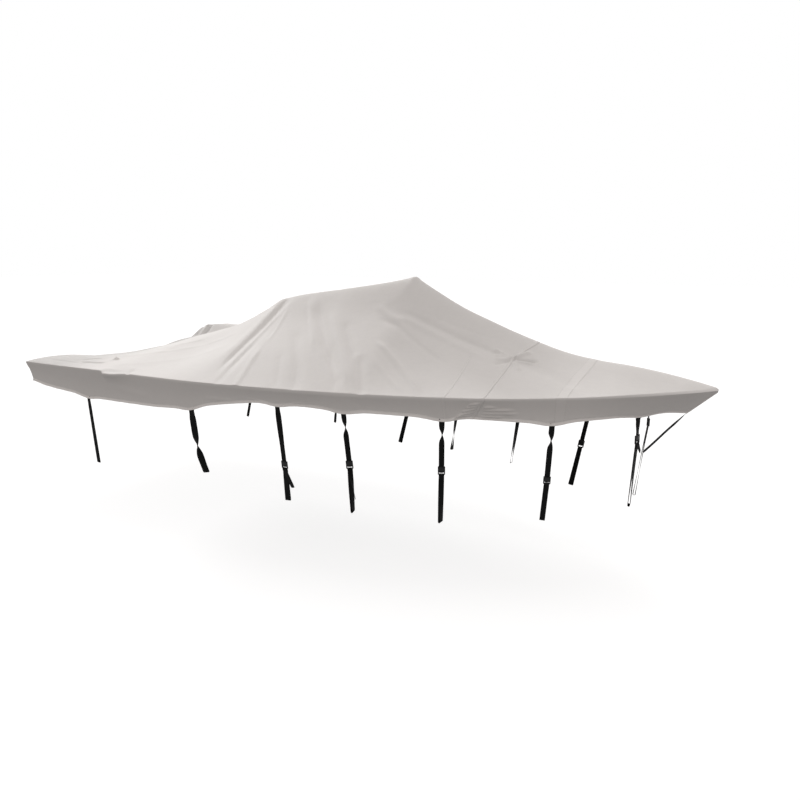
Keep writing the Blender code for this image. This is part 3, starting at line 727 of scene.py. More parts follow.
END_SKIRT = 0.2  # flat length allowed for the skirt across an end
FOLDED = (1.78, 3.30)  # the stretch with the most folds
FOLDED_STEP, FORE_STEP, AFT_STEP = 0.74, 0.9, 1.6  # the grid's step there, forward of it and aft of it
LEAST_STEP = 0.0022
HEM_ROLL_ANGLES = (205, 240, 275, 310, 345, 380)
STITCH_INSET = 0.004
NEAR_RIDGE = np.array([0.006, 0.013, 0.021, 0.030, 0.040])
SKIRT_STEPS = 28
FOLD_SUPPORT = 0.004
# how high the painted highlight along the rolled hem reaches
HEM_SHOWN = 0.013
ARC_STEPS = 7
CORNER_STEPS = 4
SEAM_EDGES = [seam.x + seam.ahead - part for seam in SEAMS for part in (0, seam.width)]


def stations(start, end, step):
    """Places along the cover from start to end. They stand closer where the folds and seams are."""
    places = [start]
    while places[-1] < end - 1e-9:
        x = places[-1]
        share = FORE_STEP if x > FOLDED[1] else AFT_STEP
        if FOLDED[0] < x < FOLDED[1]:
            share = FOLDED_STEP
        near = min(abs(x - edge) for edge in SEAM_EDGES)
        places.append(x + min(step * share, max(LEAST_STEP, near * 0.5)))
    places = np.array(places)
    return (places - start) * (end - start) / (places[-1] - start) + start


def fold_size(x, settings):
    return np.minimum(settings.fold_radius, half_beam(x) * 0.6)


def hanging_rows(at, out, whole, fold, corner, top, settings):
    """Rows of a skirt from the turned hem's inside, round its roll, up the skirt and over the fold.

    at(down) gives the skirt's points, and out the way outward; corner is where its line would meet the top's.
    """
    roll = settings.hem_roll
    turned = np.minimum(settings.hem_turn, whole * 0.6) / whole
    rows = [at(1 - turned * share) - out * roll * 0.9 for share in (1.0, 0.6, 0.2)]
    low = at(1.0)
    for angle in HEM_ROLL_ANGLES:
        a = math.radians(angle)
        rows.append(low + out * roll * math.cos(a) + np.array([0, 0, roll * (1 + math.sin(a))]))
    first = (fold - EDGE) / (whole - EDGE)
    last = 1 - (roll * 1.3 + 0.011) / whole
    for share in np.linspace(0, 1, SKIRT_STEPS):
        if share == 1:
            rows.append(at(first + FOLD_SUPPORT / whole))
        rows.append(at(last + (first - last) * share))
    foot = rows[-1]
    for k in range(1, ARC_STEPS + 1):
        t = k / (ARC_STEPS + 1)
        rows.append(foot * (1 - t) ** 2 + corner * 2 * t * (1 - t) + top * t * t)
    return rows


def side_outward(x, side):
    """The way out of the hull's side on the plan."""
    slope = (half_beam(x + 0.002) - half_beam(x - 0.002)) / 0.004
    out = np.stack([-slope, side * np.ones_like(x), np.zeros_like(x)], -1)
    return out / np.linalg.norm(out, axis=-1, keepdims=True)


def side_rows(x, side, settings):
    beam = half_beam(x)
    fold = fold_size(x, settings)
    drop = read(SLACK, "drop", x)
    edge = beam * (1 - SKIRT_LEAN * drop / skirt_depth(x)) + BULGE_OUT * bulge(x, side)
    corner = np.stack([x, side * edge, top_height(x, side * beam, beam)], -1)
    top = top_point(x, side * (beam - fold))

    def at(down):
        return side_point(x, side, down)

    return hanging_rows(at, side_outward(x, side), skirt_depth(x), fold + drop, corner, top, settings)


def across_shares(step, span=1.17):
    """Places across the top from the ridge to the gunwale's fold, as shares, closer at the ridge."""
    even = np.linspace(0, 1, max(8, round(span / step)) + 1)[1:]
    return np.concatenate([NEAR_RIDGE, even[even > NEAR_RIDGE[-1] + 0.006][:-1], [1 - FOLD_SUPPORT / span, 1]])


def cover_rows(x, settings):
    """The cover at stations x: rows of points from the starboard hem over the top to the port hem."""
    reach = half_beam(x) - fold_size(x, settings)
    rows = side_rows(x, -1, settings)
    rows += [top_point(x, -reach * share) for share in across_shares(settings.step * 0.9)[::-1]]
    rows.append(top_point(x, 0 * x))
    rows += [top_point(x, reach * share) for share in across_shares(settings.step * 2.7)]
    return np.array(rows + side_rows(x, 1, settings)[::-1])


def end_rows(grid, column, at, out_x, whole, fold, settings):
    """The skirt across one end of the cover, with rounded corners, from a grid of its rows: rows run down."""
    sides = len(side_rows(np.array([1.0]), 1, settings))
    ring = grid[:, column]
    top = ring[sides:-sides]
    out = np.array([out_x, 0.0, 0.0])
    level = at(top[:, 1], 0.0) + np.array([0, 0, EDGE])
    rows = hanging_rows(lambda down: at(top[:, 1], down), out, whole(top[:, 1]), fold, level, top, settings)
    made = []
    for k, row in enumerate(rows):
        parts = [row]
        for own, near, order in ((ring[k], row[0], 1), (ring[-1 - k], row[-1], -1)):
            corner = np.array([near[0], own[1], (near[2] + own[2]) / 2])
            ts = np.arange(CORNER_STEPS + 1)[:, None] / (CORNER_STEPS + 1)
            arc = own * (1 - ts) ** 2 + corner * 2 * ts * (1 - ts) + near * ts * ts
            parts = [arc, *parts] if order > 0 else [*parts, arc[::-1]]
        made.append(np.concatenate(parts))
    pole = [top[0]] * (CORNER_STEPS + 1), [top[-1]] * (CORNER_STEPS + 1)
    made.append(np.concatenate([pole[0], top, pole[1]]))
    return np.array(made)


def grid_quads(height, width, start=0):
    at = np.arange(height * width).reshape(height, width) + start
    return np.stack([at[:-1, :-1], at[1:, :-1], at[1:, 1:], at[:-1, 1:]], -1).reshape(-1, 4)


def run_lengths(grid, axis):
    """Distances along a grid's rows or columns, from its first."""
    steps = np.linalg.norm(np.diff(grid, axis=axis), axis=-1)
    first = np.zeros_like(np.take(steps, [0], axis=axis))
    return np.cumsum(np.concatenate([first, steps], axis=axis), axis=axis)


def cloth_mesh(name, grids, hem_height, xs):
    """One mesh from grids of points that meet edge to edge.

    It carries each place's position on the flat cloth with the mask of the painted highlight along the hem, and
    the masks of the seams' strips, of the painted shade in their grooves and of the painted light low on the
    skirt.
    """
    points, quads, places, marks = [], [], [], []
    count = 0
    for grid in grids:
        height, width = grid.shape[:2]
        along, up = run_lengths(grid, 1), run_lengths(grid, 0)
        from_hem = np.minimum(up, up[-1:] - up) if len(grids) == 1 or grid is grids[0] else up
        low = from_hem - hem_height - 0.010
        # painted highlight: the rolled hem's colour is lightened where light would catch its roll
        hem = 1 - smooth((low - HEM_SHOWN) / 0.004)
        if grid is grids[0]:
            strips, grooves, _ = seam_marks(np.broadcast_to(xs, (height, width)), grid[..., 1])
        else:
            strips, grooves = np.zeros((height, width)), np.zeros((height, width))
        # the third mask is painted light: the skirt's colour lifts towards its hem, standing in for light thrown
        # up from the ground
        marks.append(np.stack([strips, grooves, 1 - smooth(low / 0.20)], -1).reshape(-1, 3))
        points.append((grid + MOVE).reshape(-1, 3))
        places.append(np.stack([along, up, hem], -1).reshape(-1, 3))
        quads.append(grid_quads(height, width, count))
        count += height * width
    mesh = bpy.data.meshes.new(name)
    mesh.from_pydata(np.concatenate(points).tolist(), [], np.concatenate(quads).tolist())
    layer = mesh.attributes.new("cloth_place", "FLOAT_VECTOR", "POINT")
    layer.data.foreach_set("vector", np.concatenate(places).astype(np.float32).ravel())
    layer = mesh.attributes.new("cloth_marks", "FLOAT_VECTOR", "POINT")
    layer.data.foreach_set("vector", np.concatenate(marks).astype(np.float32).ravel())
    bm = bmesh.new()
    bm.from_mesh(mesh)
    bmesh.ops.remove_doubles(bm, verts=bm.verts, dist=1e-5)
    bmesh.ops.dissolve_degenerate(bm, edges=bm.edges, dist=1e-7)
    bmesh.ops.recalc_face_normals(bm, faces=bm.faces)
    bm.normal_update()
    highest = max(bm.faces, key=lambda f: f.calc_center_median().z)
    if highest.normal.z < 0:
        bmesh.ops.reverse_faces(bm, faces=bm.faces)
    bm.to_mesh(mesh)
    bm.free()
    return mesh


def place(name, mesh, look, slot, *stands_for):
    """Adds a piece to the scene, riding on the one body."""
    made = bpy.data.objects.new(name, mesh)
    bpy.context.scene.collection.objects.link(made)
    mesh.materials.append(look)
    mesh.shade_smooth()
    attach(made, "root")
    if stands_for:
        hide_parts(*stands_for)
    return made


# ---- materials ----


def new_node(tree, kind, **inputs):
    node = tree.nodes.new(kind)
    for name, value in inputs.items():
        node.inputs[name.replace("_", " ")].default_value = value
    return node


def maths(tree, operation, a, b=None):
    node = tree.nodes.new("ShaderNodeMath")
    node.operation = operation
    for number, value in enumerate((a, b)):
        if value is None:
            continue
        if isinstance(value, (int, float)):
            node.inputs[number].default_value = value
        else:
            tree.links.new(value, node.inputs[number])
    return node.outputs[0]


def new_material(name):
    """A material, its node tree and its shader."""
    made = bpy.data.materials.new(name)
    made.use_nodes = True
    return made, made.node_tree, made.node_tree.nodes["Principled BSDF"]


def relief(tree, height, strength, distance, normal=None):
    """A bump from a height, over another one where that is given."""
    node = tree.nodes.new("ShaderNodeBump")
    node.inputs["Strength"].default_value = strength
    node.inputs["Distance"].default_value = distance
    tree.links.new(height, node.inputs["Height"])
    if normal:
        tree.links.new(normal, node.inputs["Normal"])
    return node.outputs["Normal"]


def parts_of(tree, vector):
    """A vector's X, Y and Z."""
    split = tree.nodes.new("ShaderNodeSeparateXYZ")
    tree.links.new(vector, split.inputs[0])
    return split.outputs


def fading_at(tree, place, patches=None):
    """The mask of uneven fading at a place."""
    node = group_in(tree, "Uneven fading", mottle_group)
    if patches:
        node.inputs["Patches per metre"].default_value = patches
    tree.links.new(place, node.inputs["Place"])
    return node.outputs["Mask"]


def weave_at(tree, place, threads):
    """A plain weave at a place: its height and the mask of its gaps."""
    node = group_in(tree, "Plain weave", weave_group)
    node.inputs["Threads per metre"].default_value = threads
    tree.links.new(place, node.inputs["Place"])
    return node.outputs["Height"], node.outputs["Gaps"]


def marked(tree, name):
    """A vector that the mesh carries at its points."""
    node = tree.nodes.new("ShaderNodeAttribute")
    node.attribute_name = name
    return node.outputs["Vector"]


def object_place(tree):
    return tree.nodes.new("ShaderNodeTexCoord").outputs["Object"]


def weave_group():
    """A plain weave: threads over and under each other. It puts out a height and a mask of the gaps."""
    tree = bpy.data.node_groups.new("Plain weave", "ShaderNodeTree")
    tree.interface.new_socket("Place", in_out="INPUT", socket_type="NodeSocketVector")
    spacing = tree.interface.new_socket("Threads per metre", in_out="INPUT", socket_type="NodeSocketFloat")
    spacing.default_value = 700.0
    tree.interface.new_socket("Height", in_out="OUTPUT", socket_type="NodeSocketFloat")
    tree.interface.new_socket("Gaps", in_out="OUTPUT", socket_type="NodeSocketFloat")
    inside, outside = tree.nodes.new("NodeGroupInput"), tree.nodes.new("NodeGroupOutput")
    split = tree.nodes.new("ShaderNodeSeparateXYZ")
    tree.links.new(inside.outputs["Place"], split.inputs[0])
    waves = []
    for axis in ("X", "Y"):
        turned = maths(tree, "MULTIPLY", split.outputs[axis], inside.outputs["Threads per metre"])
        turned = maths(tree, "MULTIPLY", turned, math.pi)
        waves.append((maths(tree, "SINE", turned), maths(tree, "COSINE", turned)))
    over = maths(tree, "MULTIPLY", waves[0][1], waves[1][1])
    warp = maths(tree, "ABSOLUTE", waves[0][0])
    weft = maths(tree, "ABSOLUTE", waves[1][0])
    height = maths(tree, "ADD", maths(tree, "MAXIMUM", warp, weft), maths(tree, "MULTIPLY", over, 0.25))
    gaps = maths(tree, "SUBTRACT", 1.0, maths(tree, "MAXIMUM", warp, weft))
    tree.links.new(height, outside.inputs["Height"])
    tree.links.new(gaps, outside.inputs["Gaps"])
    return tree


def mottle_group():
    """Uneven soiling and fading, in large soft patches with a fine grain in them."""
    tree = bpy.data.node_groups.new("Uneven fading", "ShaderNodeTree")
    tree.interface.new_socket("Place", in_out="INPUT", socket_type="NodeSocketVector")
    size = tree.interface.new_socket("Patches per metre", in_out="INPUT", socket_type="NodeSocketFloat")
    size.default_value = 1.6
    tree.interface.new_socket("Mask", in_out="OUTPUT", socket_type="NodeSocketFloat")
    inside, outside = tree.nodes.new("NodeGroupInput"), tree.nodes.new("NodeGroupOutput")
    broad = new_node(tree, "ShaderNodeTexNoise", Detail=3.0, Roughness=0.55)
    tree.links.new(inside.outputs["Place"], broad.inputs["Vector"])
    tree.links.new(inside.outputs["Patches per metre"], broad.inputs["Scale"])
    fine = new_node(tree, "ShaderNodeTexNoise", Detail=4.0, Roughness=0.6)
    tree.links.new(inside.outputs["Place"], fine.inputs["Vector"])
    tree.links.new(maths(tree, "MULTIPLY", inside.outputs["Patches per metre"], 16.0), fine.inputs["Scale"])
    both = maths(tree, "ADD", maths(tree, "MULTIPLY", broad.outputs["Fac"], 0.7),
                 maths(tree, "MULTIPLY", fine.outputs["Fac"], 0.3))
    tree.links.new(both, outside.inputs["Mask"])
    return tree


def group_in(tree, name, maker):
    node = tree.nodes.new("ShaderNodeGroup")
    node.node_tree = bpy.data.node_groups.get(name) or maker()
    return node


def colour_ramp(tree, factor, *stops):
    node = tree.nodes.new("ShaderNodeValToRGB")
    while len(node.color_ramp.elements) < len(stops):
        node.color_ramp.elements.new(0.5)
    for element, (at, colour) in zip(node.color_ramp.elements, stops):
        element.position = at
        element.color = (*colour, 1.0) if len(colour) == 3 else colour
    tree.links.new(factor, node.inputs["Fac"])
    return node.outputs["Color"]


def mixed(tree, factor, a, b):
    node = tree.nodes.new("ShaderNodeMix")
    node.data_type = "RGBA"
    for socket, value in ((node.inputs[0], factor), (node.inputs[6], a), (node.inputs[7], b)):
        if hasattr(value, "is_output"):
            tree.links.new(value, socket)
        else:
            socket.default_value = value
    return node.outputs[2]


def faded_range(tree, value, low, high):
    """0 at low and 1 at high, easing between them."""
    node = new_node(tree, "ShaderNodeMapRange", **{"From Min": low, "From Max": high})
    node.interpolation_type = "SMOOTHSTEP"
    tree.links.new(value, node.inputs["Value"])
    return node.outputs["Result"]


def scaled(colour, share):
    return tuple(min(1.0, channel * share) for channel in colour)


def woven_cloth(settings):
    """Coated polyester: a plain weave, lighter at the seams' strips.

    Painted light lifts the hem and the skirt above it, painted shade darkens the seams' grooves, and a painted
    shadow of the motor darkens the stern's top.
    """
    found = bpy.data.materials.get("Coated polyester")
    if found:
        return found
    made, tree, shader = new_material("Coated polyester")
    flat = marked(tree, "cloth_place")
    height, gaps = weave_at(tree, flat, 620.0)
    spot = object_place(tree)
    mask = fading_at(tree, spot)
    base = tuple(settings.colour)

    def over(under, share, amount, shade):
        factor = share if amount is None else maths(tree, "MULTIPLY", share, amount)
        return mixed(tree, factor, under, (*scaled(base, shade), 1.0))

    faded = colour_ramp(tree, mask, (0.35, scaled(base, 0.965)), (0.62, scaled(base, 1.02)))
    mark = parts_of(tree, marked(tree, "cloth_marks"))
    colour = over(faded, gaps, 0.10, 0.6)
    # painted highlight along the rolled hem
    colour = over(colour, parts_of(tree, flat)["Z"], 0.95, 1.32)
    # painted light: the skirt's colour lightened towards its hem
    colour = over(colour, mark["Z"], 0.30, 1.25)
    colour = over(colour, mark["X"], 0.10, 1.25)
    way = parts_of(tree, tree.nodes.new("ShaderNodeNewGeometry").outputs["Normal"])
    # painted shadow of the motor: the stern's upward-facing cloth is darkened, fading out forward
    upward = faded_range(tree, way["Z"], 0.55, 0.85)
    aft = faded_range(tree, parts_of(tree, spot)["X"], STERN_SHADOW[1] - PEAK_X, STERN_SHADOW[0] - PEAK_X)
    shaded = maths(tree, "MULTIPLY", upward, maths(tree, "MULTIPLY", aft, 0.75))
    colour = over(colour, shaded, None, settings.painted_stern_shadow)
    # painted shade in the seams' grooves
    colour = over(colour, mark["Y"], None, 0.35)
    tree.links.new(colour, shader.inputs["Base Color"])
    rough = maths(tree, "ADD", maths(tree, "MULTIPLY", mask, 0.2), 0.66)
    tree.links.new(rough, shader.inputs["Roughness"])
    shader.inputs["Specular IOR Level"].default_value = 0.25
    crumple = new_node(tree, "ShaderNodeTexNoise", Scale=9.0, Detail=5.0, Roughness=0.5)
    tree.links.new(spot, crumple.inputs["Vector"])
    soft = relief(tree, crumple.outputs["Fac"], 0.12, 0.02)
    tree.links.new(relief(tree, height, 0.25, 0.0004, soft), shader.inputs["Normal"])
    return made


def thread_look(settings):
    """Polyester thread, a little darker than the cloth."""
    made, tree, shader = new_material("Sewing thread")
    mask = fading_at(tree, object_place(tree), 12.0)
    base = tuple(settings.colour)
    worn = colour_ramp(tree, mask, (0.35, scaled(base, 0.62)), (0.65, scaled(base, 0.86)))
    tree.links.new(worn, shader.inputs["Base Color"])
    shader.inputs["Roughness"].default_value = 0.55
    return made


def webbing_look(settings):
    """Black woven webbing with its ribs."""
    found = bpy.data.materials.get("Ribbed webbing")
    if found:
        return found
    made, tree, shader = new_material("Ribbed webbing")
    height, gaps = weave_at(tree, marked(tree, "webbing_place"), 420.0)
    mask = fading_at(tree, object_place(tree), 6.0)
    base = tuple(settings.webbing_colour)
    worn = colour_ramp(tree, mask, (0.35, scaled(base, 0.8)), (0.68, scaled(base, 1.5)))
    threads = mixed(tree, maths(tree, "MULTIPLY", gaps, 0.6), worn, (*scaled(base, 0.3), 1.0))
    tree.links.new(threads, shader.inputs["Base Color"])
    rough = maths(tree, "ADD", maths(tree, "MULTIPLY", mask, 0.25), 0.5)
    tree.links.new(rough, shader.inputs["Roughness"])
    shader.inputs["Specular IOR Level"].default_value = 0.08
    tree.links.new(relief(tree, height, 0.7, 0.0006), shader.inputs["Normal"])
    return made


def plastic_look(settings):
    """Black moulded plastic with a fine grain."""
    found = bpy.data.materials.get("Moulded plastic")
    if found:
        return found
    made, tree, shader = new_material("Moulded plastic")
    spot = object_place(tree)
    mask = fading_at(tree, spot, 20.0)
    base = tuple(settings.plastic_colour)
    worn = colour_ramp(tree, mask, (0.35, scaled(base, 0.8)), (0.66, scaled(base, 1.6)))
    tree.links.new(worn, shader.inputs["Base Color"])
    rough = maths(tree, "ADD", maths(tree, "MULTIPLY", mask, 0.3), 0.22)
    tree.links.new(rough, shader.inputs["Roughness"])
    grain = new_node(tree, "ShaderNodeTexNoise", Scale=900.0, Detail=2.0)
    tree.links.new(spot, grain.inputs["Vector"])
    tree.links.new(relief(tree, grain.outputs["Fac"], 0.15, 0.0002), shader.inputs["Normal"])
    shader.inputs["Specular IOR Level"].default_value = 0.18
    return made


# ---- straps ----


def along_curve(points, steps):
    """More places along a smooth curve through the given points, and each one's place in the list."""
    points = np.array([tuple(p) for p in points])
    count = len(points)
    places, shares = [], []
    for i in range(count - 1):
        before, a, b, after = points[max(i - 1, 0)], points[i], points[i + 1], points[min(i + 2, count - 1)]
        size = np.linalg.norm(b - a)
        start = (b - before) / max(np.linalg.norm(b - before), 1e-9) * size
        end = (after - a) / max(np.linalg.norm(after - a), 1e-9) * size
        for k in range(steps):
            t = k / steps
            h = (2 * t**3 - 3 * t**2 + 1, t**3 - 2 * t**2 + t, -2 * t**3 + 3 * t**2, t**3 - t**2)
            places.append(a * h[0] + start * h[1] + b * h[2] + end * h[3])
            shares.append(i + t)
    return np.array([*places, points[-1]]), np.array([*shares, count - 1.0])


def webbing_mesh(name, path, sides, width, thickness, steps=5, round_end=0.0):
    """A strip of webbing along a path, with rounded edges, and each place's position on the flat strip."""
    places, shares = along_curve(path, steps)
    sides = np.array([tuple(s) for s in sides])
    first = np.minimum(shares.astype(int), len(sides) - 2)
    part = (shares - first)[:, None]
    across = sides[first] * (1 - part) + sides[first + 1] * part
    ahead = np.gradient(places, axis=0)
    ahead /= np.linalg.norm(ahead, axis=1, keepdims=True)
    across -= ahead * (across * ahead).sum(1, keepdims=True)
    across /= np.linalg.norm(across, axis=1, keepdims=True)
    out = np.cross(ahead, across)
    run = np.concatenate([[0], np.cumsum(np.linalg.norm(np.diff(places, axis=0), axis=1))])
    outline = [(-1, 0), (-0.97, -0.7), (-0.85, -1), (-0.3, -1), (0.3, -1), (0.85, -1), (0.97, -0.7),
               (1, 0), (0.97, 0.7), (0.85, 1), (0.3, 1), (-0.3, 1), (-0.85, 1), (-0.97, 0.7)]
    wide = np.full(len(places), width / 2)
    if round_end:
        near = np.clip((run[-1] - run) / round_end, 0, 1)
        wide *= 0.72 + 0.28 * np.sqrt(near * (2 - near))
    rings = [places + across * (wide * u)[:, None] + out * (thickness / 2 * v) for u, v in outline]
    grid = np.array(rings)
    count, size = len(places), len(outline)
    at = np.arange(size * count).reshape(size, count)
    nxt = np.roll(at, -1, axis=0)
    quads = np.stack([at[:, :-1], nxt[:, :-1], nxt[:, 1:], at[:, 1:]], -1).reshape(-1, 4).tolist()
    faces = quads + [at[:, 0].tolist(), at[::-1, -1].tolist()]
    mesh = bpy.data.meshes.new(name)
    mesh.from_pydata((grid + MOVE).reshape(-1, 3).tolist(), [], faces)
    layer = mesh.attributes.new("webbing_place", "FLOAT_VECTOR", "POINT")
    us = np.array([u for u, v in outline])[:, None] * wide[None, :]
    vs = np.broadcast_to(run[None, :], us.shape)
    data = np.stack([us, vs, np.zeros_like(us)], -1).reshape(-1, 3)
    layer.data.foreach_set("vector", data.astype(np.float32).ravel())
    bm = bmesh.new()
    bm.from_mesh(mesh)
    bmesh.ops.recalc_face_normals(bm, faces=bm.faces)
    bm.to_mesh(mesh)
    bm.free()
    return mesh


def placed(at, side):
    return Vector((at[0], -at[1] * side, at[2]))


def facing(turn, side):
    angle = math.radians(turn)
    return Vector((math.cos(angle), -side * math.sin(angle), 0))


def upright(across, down):
    return (across - down * across.dot(down)).normalized()


def point_of(values):
    return Vector([float(v) for v in values])


def easy(t):
    return float(smooth(t))


STRAP_SHARES = (0.05, 0.13, 0.21, 0.29, 0.37, 0.45, 0.54, 0.63, 0.72, 0.81, 0.90)
LOOP_SHARES = (0.0, 0.03, 0.25, 0.5, 0.75, 1.0)
LOOP_STEPS = 6
TAB_INSIDE = 0.0052


def strap_tab(strap, side):
    """The stretch sewn inside the skirt: its two ends, and the way along the hem there."""
    share = TAB_RISE / float(skirt_depth(strap.hem_x))
    low = point_of(side_point(strap.hem_x, side, 1.0))
    high = point_of(side_point(strap.hem_x, side, 1.0 - share))
    ahead = point_of(side_point(strap.hem_x + 0.035, side, 1.0) - side_point(strap.hem_x - 0.035, side, 1.0))
    outward = ahead.cross(high - low).normalized()
    if outward.y * side < 0:
        outward.negate()
    inside = -outward * TAB_INSIDE
    below = (low - high).normalized() * TAB_BELOW
    return low + inside + below, high + inside, ahead.normalized()


def strap_path(strap, side, tab, end, turn_end):
    low, high, ahead = tab
    start_turn = math.degrees(math.atan2(-side * ahead.y, ahead.x))
    down = (end - low).normalized()
    places = [low.lerp(end, share) for share in STRAP_SHARES]
    if strap.bend:
        aside = placed(strap.bend, side) - low.lerp(end, strap.twist_at)
        for spot, share in zip(places, STRAP_SHARES):
            near = share / strap.twist_at if share < strap.twist_at else (1 - share) / (1 - strap.twist_at)
            spot += aside * near
    places += [end - down * STRAIGHT, end]
    sides = [ahead, ahead]
    for share in (*STRAP_SHARES, 1.0, 1.0):
        turned = easy((share - strap.twist_at + TWIST_SPREAD) / (2 * TWIST_SPREAD))
        turn = strap.turn_hem + (turn_end - strap.turn_hem) * turned
        turn = start_turn + (turn - start_turn) * easy((share - 0.02) / 0.14)
        sides.append(facing(turn, side))
    return [high, low, *places], sides


def loop_path(strap, side, foot, across, front, down, end):
    """A doubled strap: down from the buckle, round at the end, and back up behind."""
    run = (end - foot).normalized()
    low_across = upright(facing(strap.turn_end, side), run)
    low_front = low_across.cross(run)
    if low_front.dot(front) < 0:
        low_front.negate()
    radius = LOOP_AT_END / 2
    centre = end - run * radius
    path, back, sides = [], [], []
    for share in LOOP_SHARES:
        apart = (LOOP_AT_BUCKLE / 2) * (1 - share) + radius * share
        out = front.lerp(low_front, share).normalized() * apart
        spot = foot.lerp(centre, share) if share > 0.05 else foot + down * STRAIGHT * (share > 0)
        path.append(spot + out)
        back.append(spot - out)
        sides.append(across.lerp(low_across, share))
    returning = sides[::-1]
    for k in range(1, LOOP_STEPS):
        angle = math.pi * k / LOOP_STEPS
        path.append(centre + low_front * radius * math.cos(angle) + run * radius * math.sin(angle))
        sides.append(low_across)
    return path + back[::-1], sides + returning


def buckle_place(strap, side):
    """Where a buckle stands: its middle, the way down its strap, across it and out of its front."""
    low = strap_tab(strap, side)[0]
    middle = placed(strap.buckle, side)
    down = (middle - low).normalized()
    across = upright(facing(strap.turn_buckle, side), down)
    front = across.cross(down)
    if front.y * side < 0:
        front.negate()
    return middle, down, across, front


# ---- stitching ----

STITCH_PITCH = 0.0075
STITCH_LENGTH = 0.0052
STITCH_WIDTH = 0.0006
HEM_ROWS = 10  # rows of the skirt inside the hem and round its roll


def stitch_mesh(name, rows):
    """Short raised threads along rows, each a line of points and the way out of the cloth there."""
    points, quads, count = [], [], 0
    for line, outward in rows:
        run = np.concatenate([[0], np.cumsum(np.linalg.norm(np.diff(line, axis=0), axis=1))])
        spots = np.arange(STITCH_PITCH / 2, run[-1], STITCH_PITCH)

        def along_row(values, at):
            return np.stack([np.interp(at, run, values[:, k]) for k in range(3)], -1)

        start, end = (along_row(line, spots + half) for half in (-STITCH_LENGTH / 2, STITCH_LENGTH / 2))
        middles, ways = (start + end) / 2, end - start
        out = along_row(outward, spots)
        ways /= np.linalg.norm(ways, axis=1, keepdims=True)
        out -= ways * (out * ways).sum(1, keepdims=True)
        out /= np.linalg.norm(out, axis=1, keepdims=True)
        across = np.cross(ways, out)
        rings = []
        for along, size in ((-0.5, 0.25), (-0.36, 1.0), (0.36, 1.0), (0.5, 0.25)):
            centre = middles + ways * STITCH_LENGTH * along + out * (STITCH_WIDTH * 0.55 * size)
            for turn in range(4):
                angle = math.pi * (turn / 2 + 0.25)
                spread = across * math.cos(angle) + out * math.sin(angle)
                rings.append(centre + spread * STITCH_WIDTH * 0.7 * size)
        block = np.stack(rings, 1)
        points.append((block + MOVE).reshape(-1, 3))
        base = (np.arange(len(middles)) * 16 + count)[:, None]
        for ring in range(3):
            for turn in range(4):
                a, b = ring * 4 + turn, ring * 4 + (turn + 1) % 4
                quads.append(base + np.array([a, b, b + 4, a + 4]))
        quads.append(base + np.array([3, 2, 1, 0]))
        quads.append(base + np.array([12, 13, 14, 15]))
        count += len(middles) * 16
    mesh = bpy.data.meshes.new(name)
    mesh.from_pydata(np.concatenate(points).tolist(), [], np.concatenate(quads).tolist())
    return mesh


def across_line(x, settings):
    """A line over the cover at station x, from hem to hem, and the way out of the cloth along it."""
    near = cover_rows(np.array([x - 0.003, x, x + 0.003]), settings)
    ahead = (near[:, 2] - near[:, 0])[HEM_ROWS:-HEM_ROWS]
    line = near[:, 1][HEM_ROWS:-HEM_ROWS]
    way = np.gradient(line, axis=0)
    out = np.cross(way, ahead)
    from_inside = line - np.array([x, 0.0, -0.6])
    out *= np.sign((out * from_inside).sum(1, keepdims=True))
    return line, out / np.linalg.norm(out, axis=1, keepdims=True)


def hem_line(side, settings):
    xs = np.linspace(0.03, BOW_END - 0.015, 1200)
    down = 1 - settings.hem_turn / skirt_depth(xs)
    return side_point(xs, side, down), side_outward(xs, side)


def end_line(at, out_x, whole, reach, settings):
    ys = np.linspace(-reach, reach, 300)
    line = at(ys, 1 - np.minimum(settings.hem_turn, whole(ys) * 0.6) / whole(ys))
    return line, np.broadcast_to([out_x, 0.0, 0.2], line.shape)


def stem_depth(y):
    return skirt_depth(BOW_END) + 0 * y


def side_word(side):
    return "starboard" if side < 0 else "port"


# ---- buckles ----


def rounded_bar(bm, middle, size, bevel):
    """A bar with softened edges."""
    made = bmesh.ops.create_cube(bm, size=1.0)["verts"]
    bmesh.ops.scale(bm, vec=size, verts=made)
    bmesh.ops.translate(bm, vec=middle, verts=made)
    edges = list(dict.fromkeys(edge for vert in made for edge in vert.link_edges))
    bmesh.ops.bevel(bm, geom=edges, offset=bevel, segments=3, affect="EDGES", profile=0.5)


def put_in_order(bm):
    """Give a mesh's parts an order that is the same each time. A bevel leaves them in any order."""
    kinds = (
        (bm.verts, lambda vert: tuple(vert.co)),
        (bm.edges, lambda edge: sorted(tuple(vert.co) for vert in edge.verts)),
        (bm.faces, lambda face: sorted(tuple(vert.co) for vert in face.verts)),
    )
    for parts, corners in kinds:
        for index, part in enumerate(sorted(parts, key=corners)):
            part.index = index
        parts.sort()


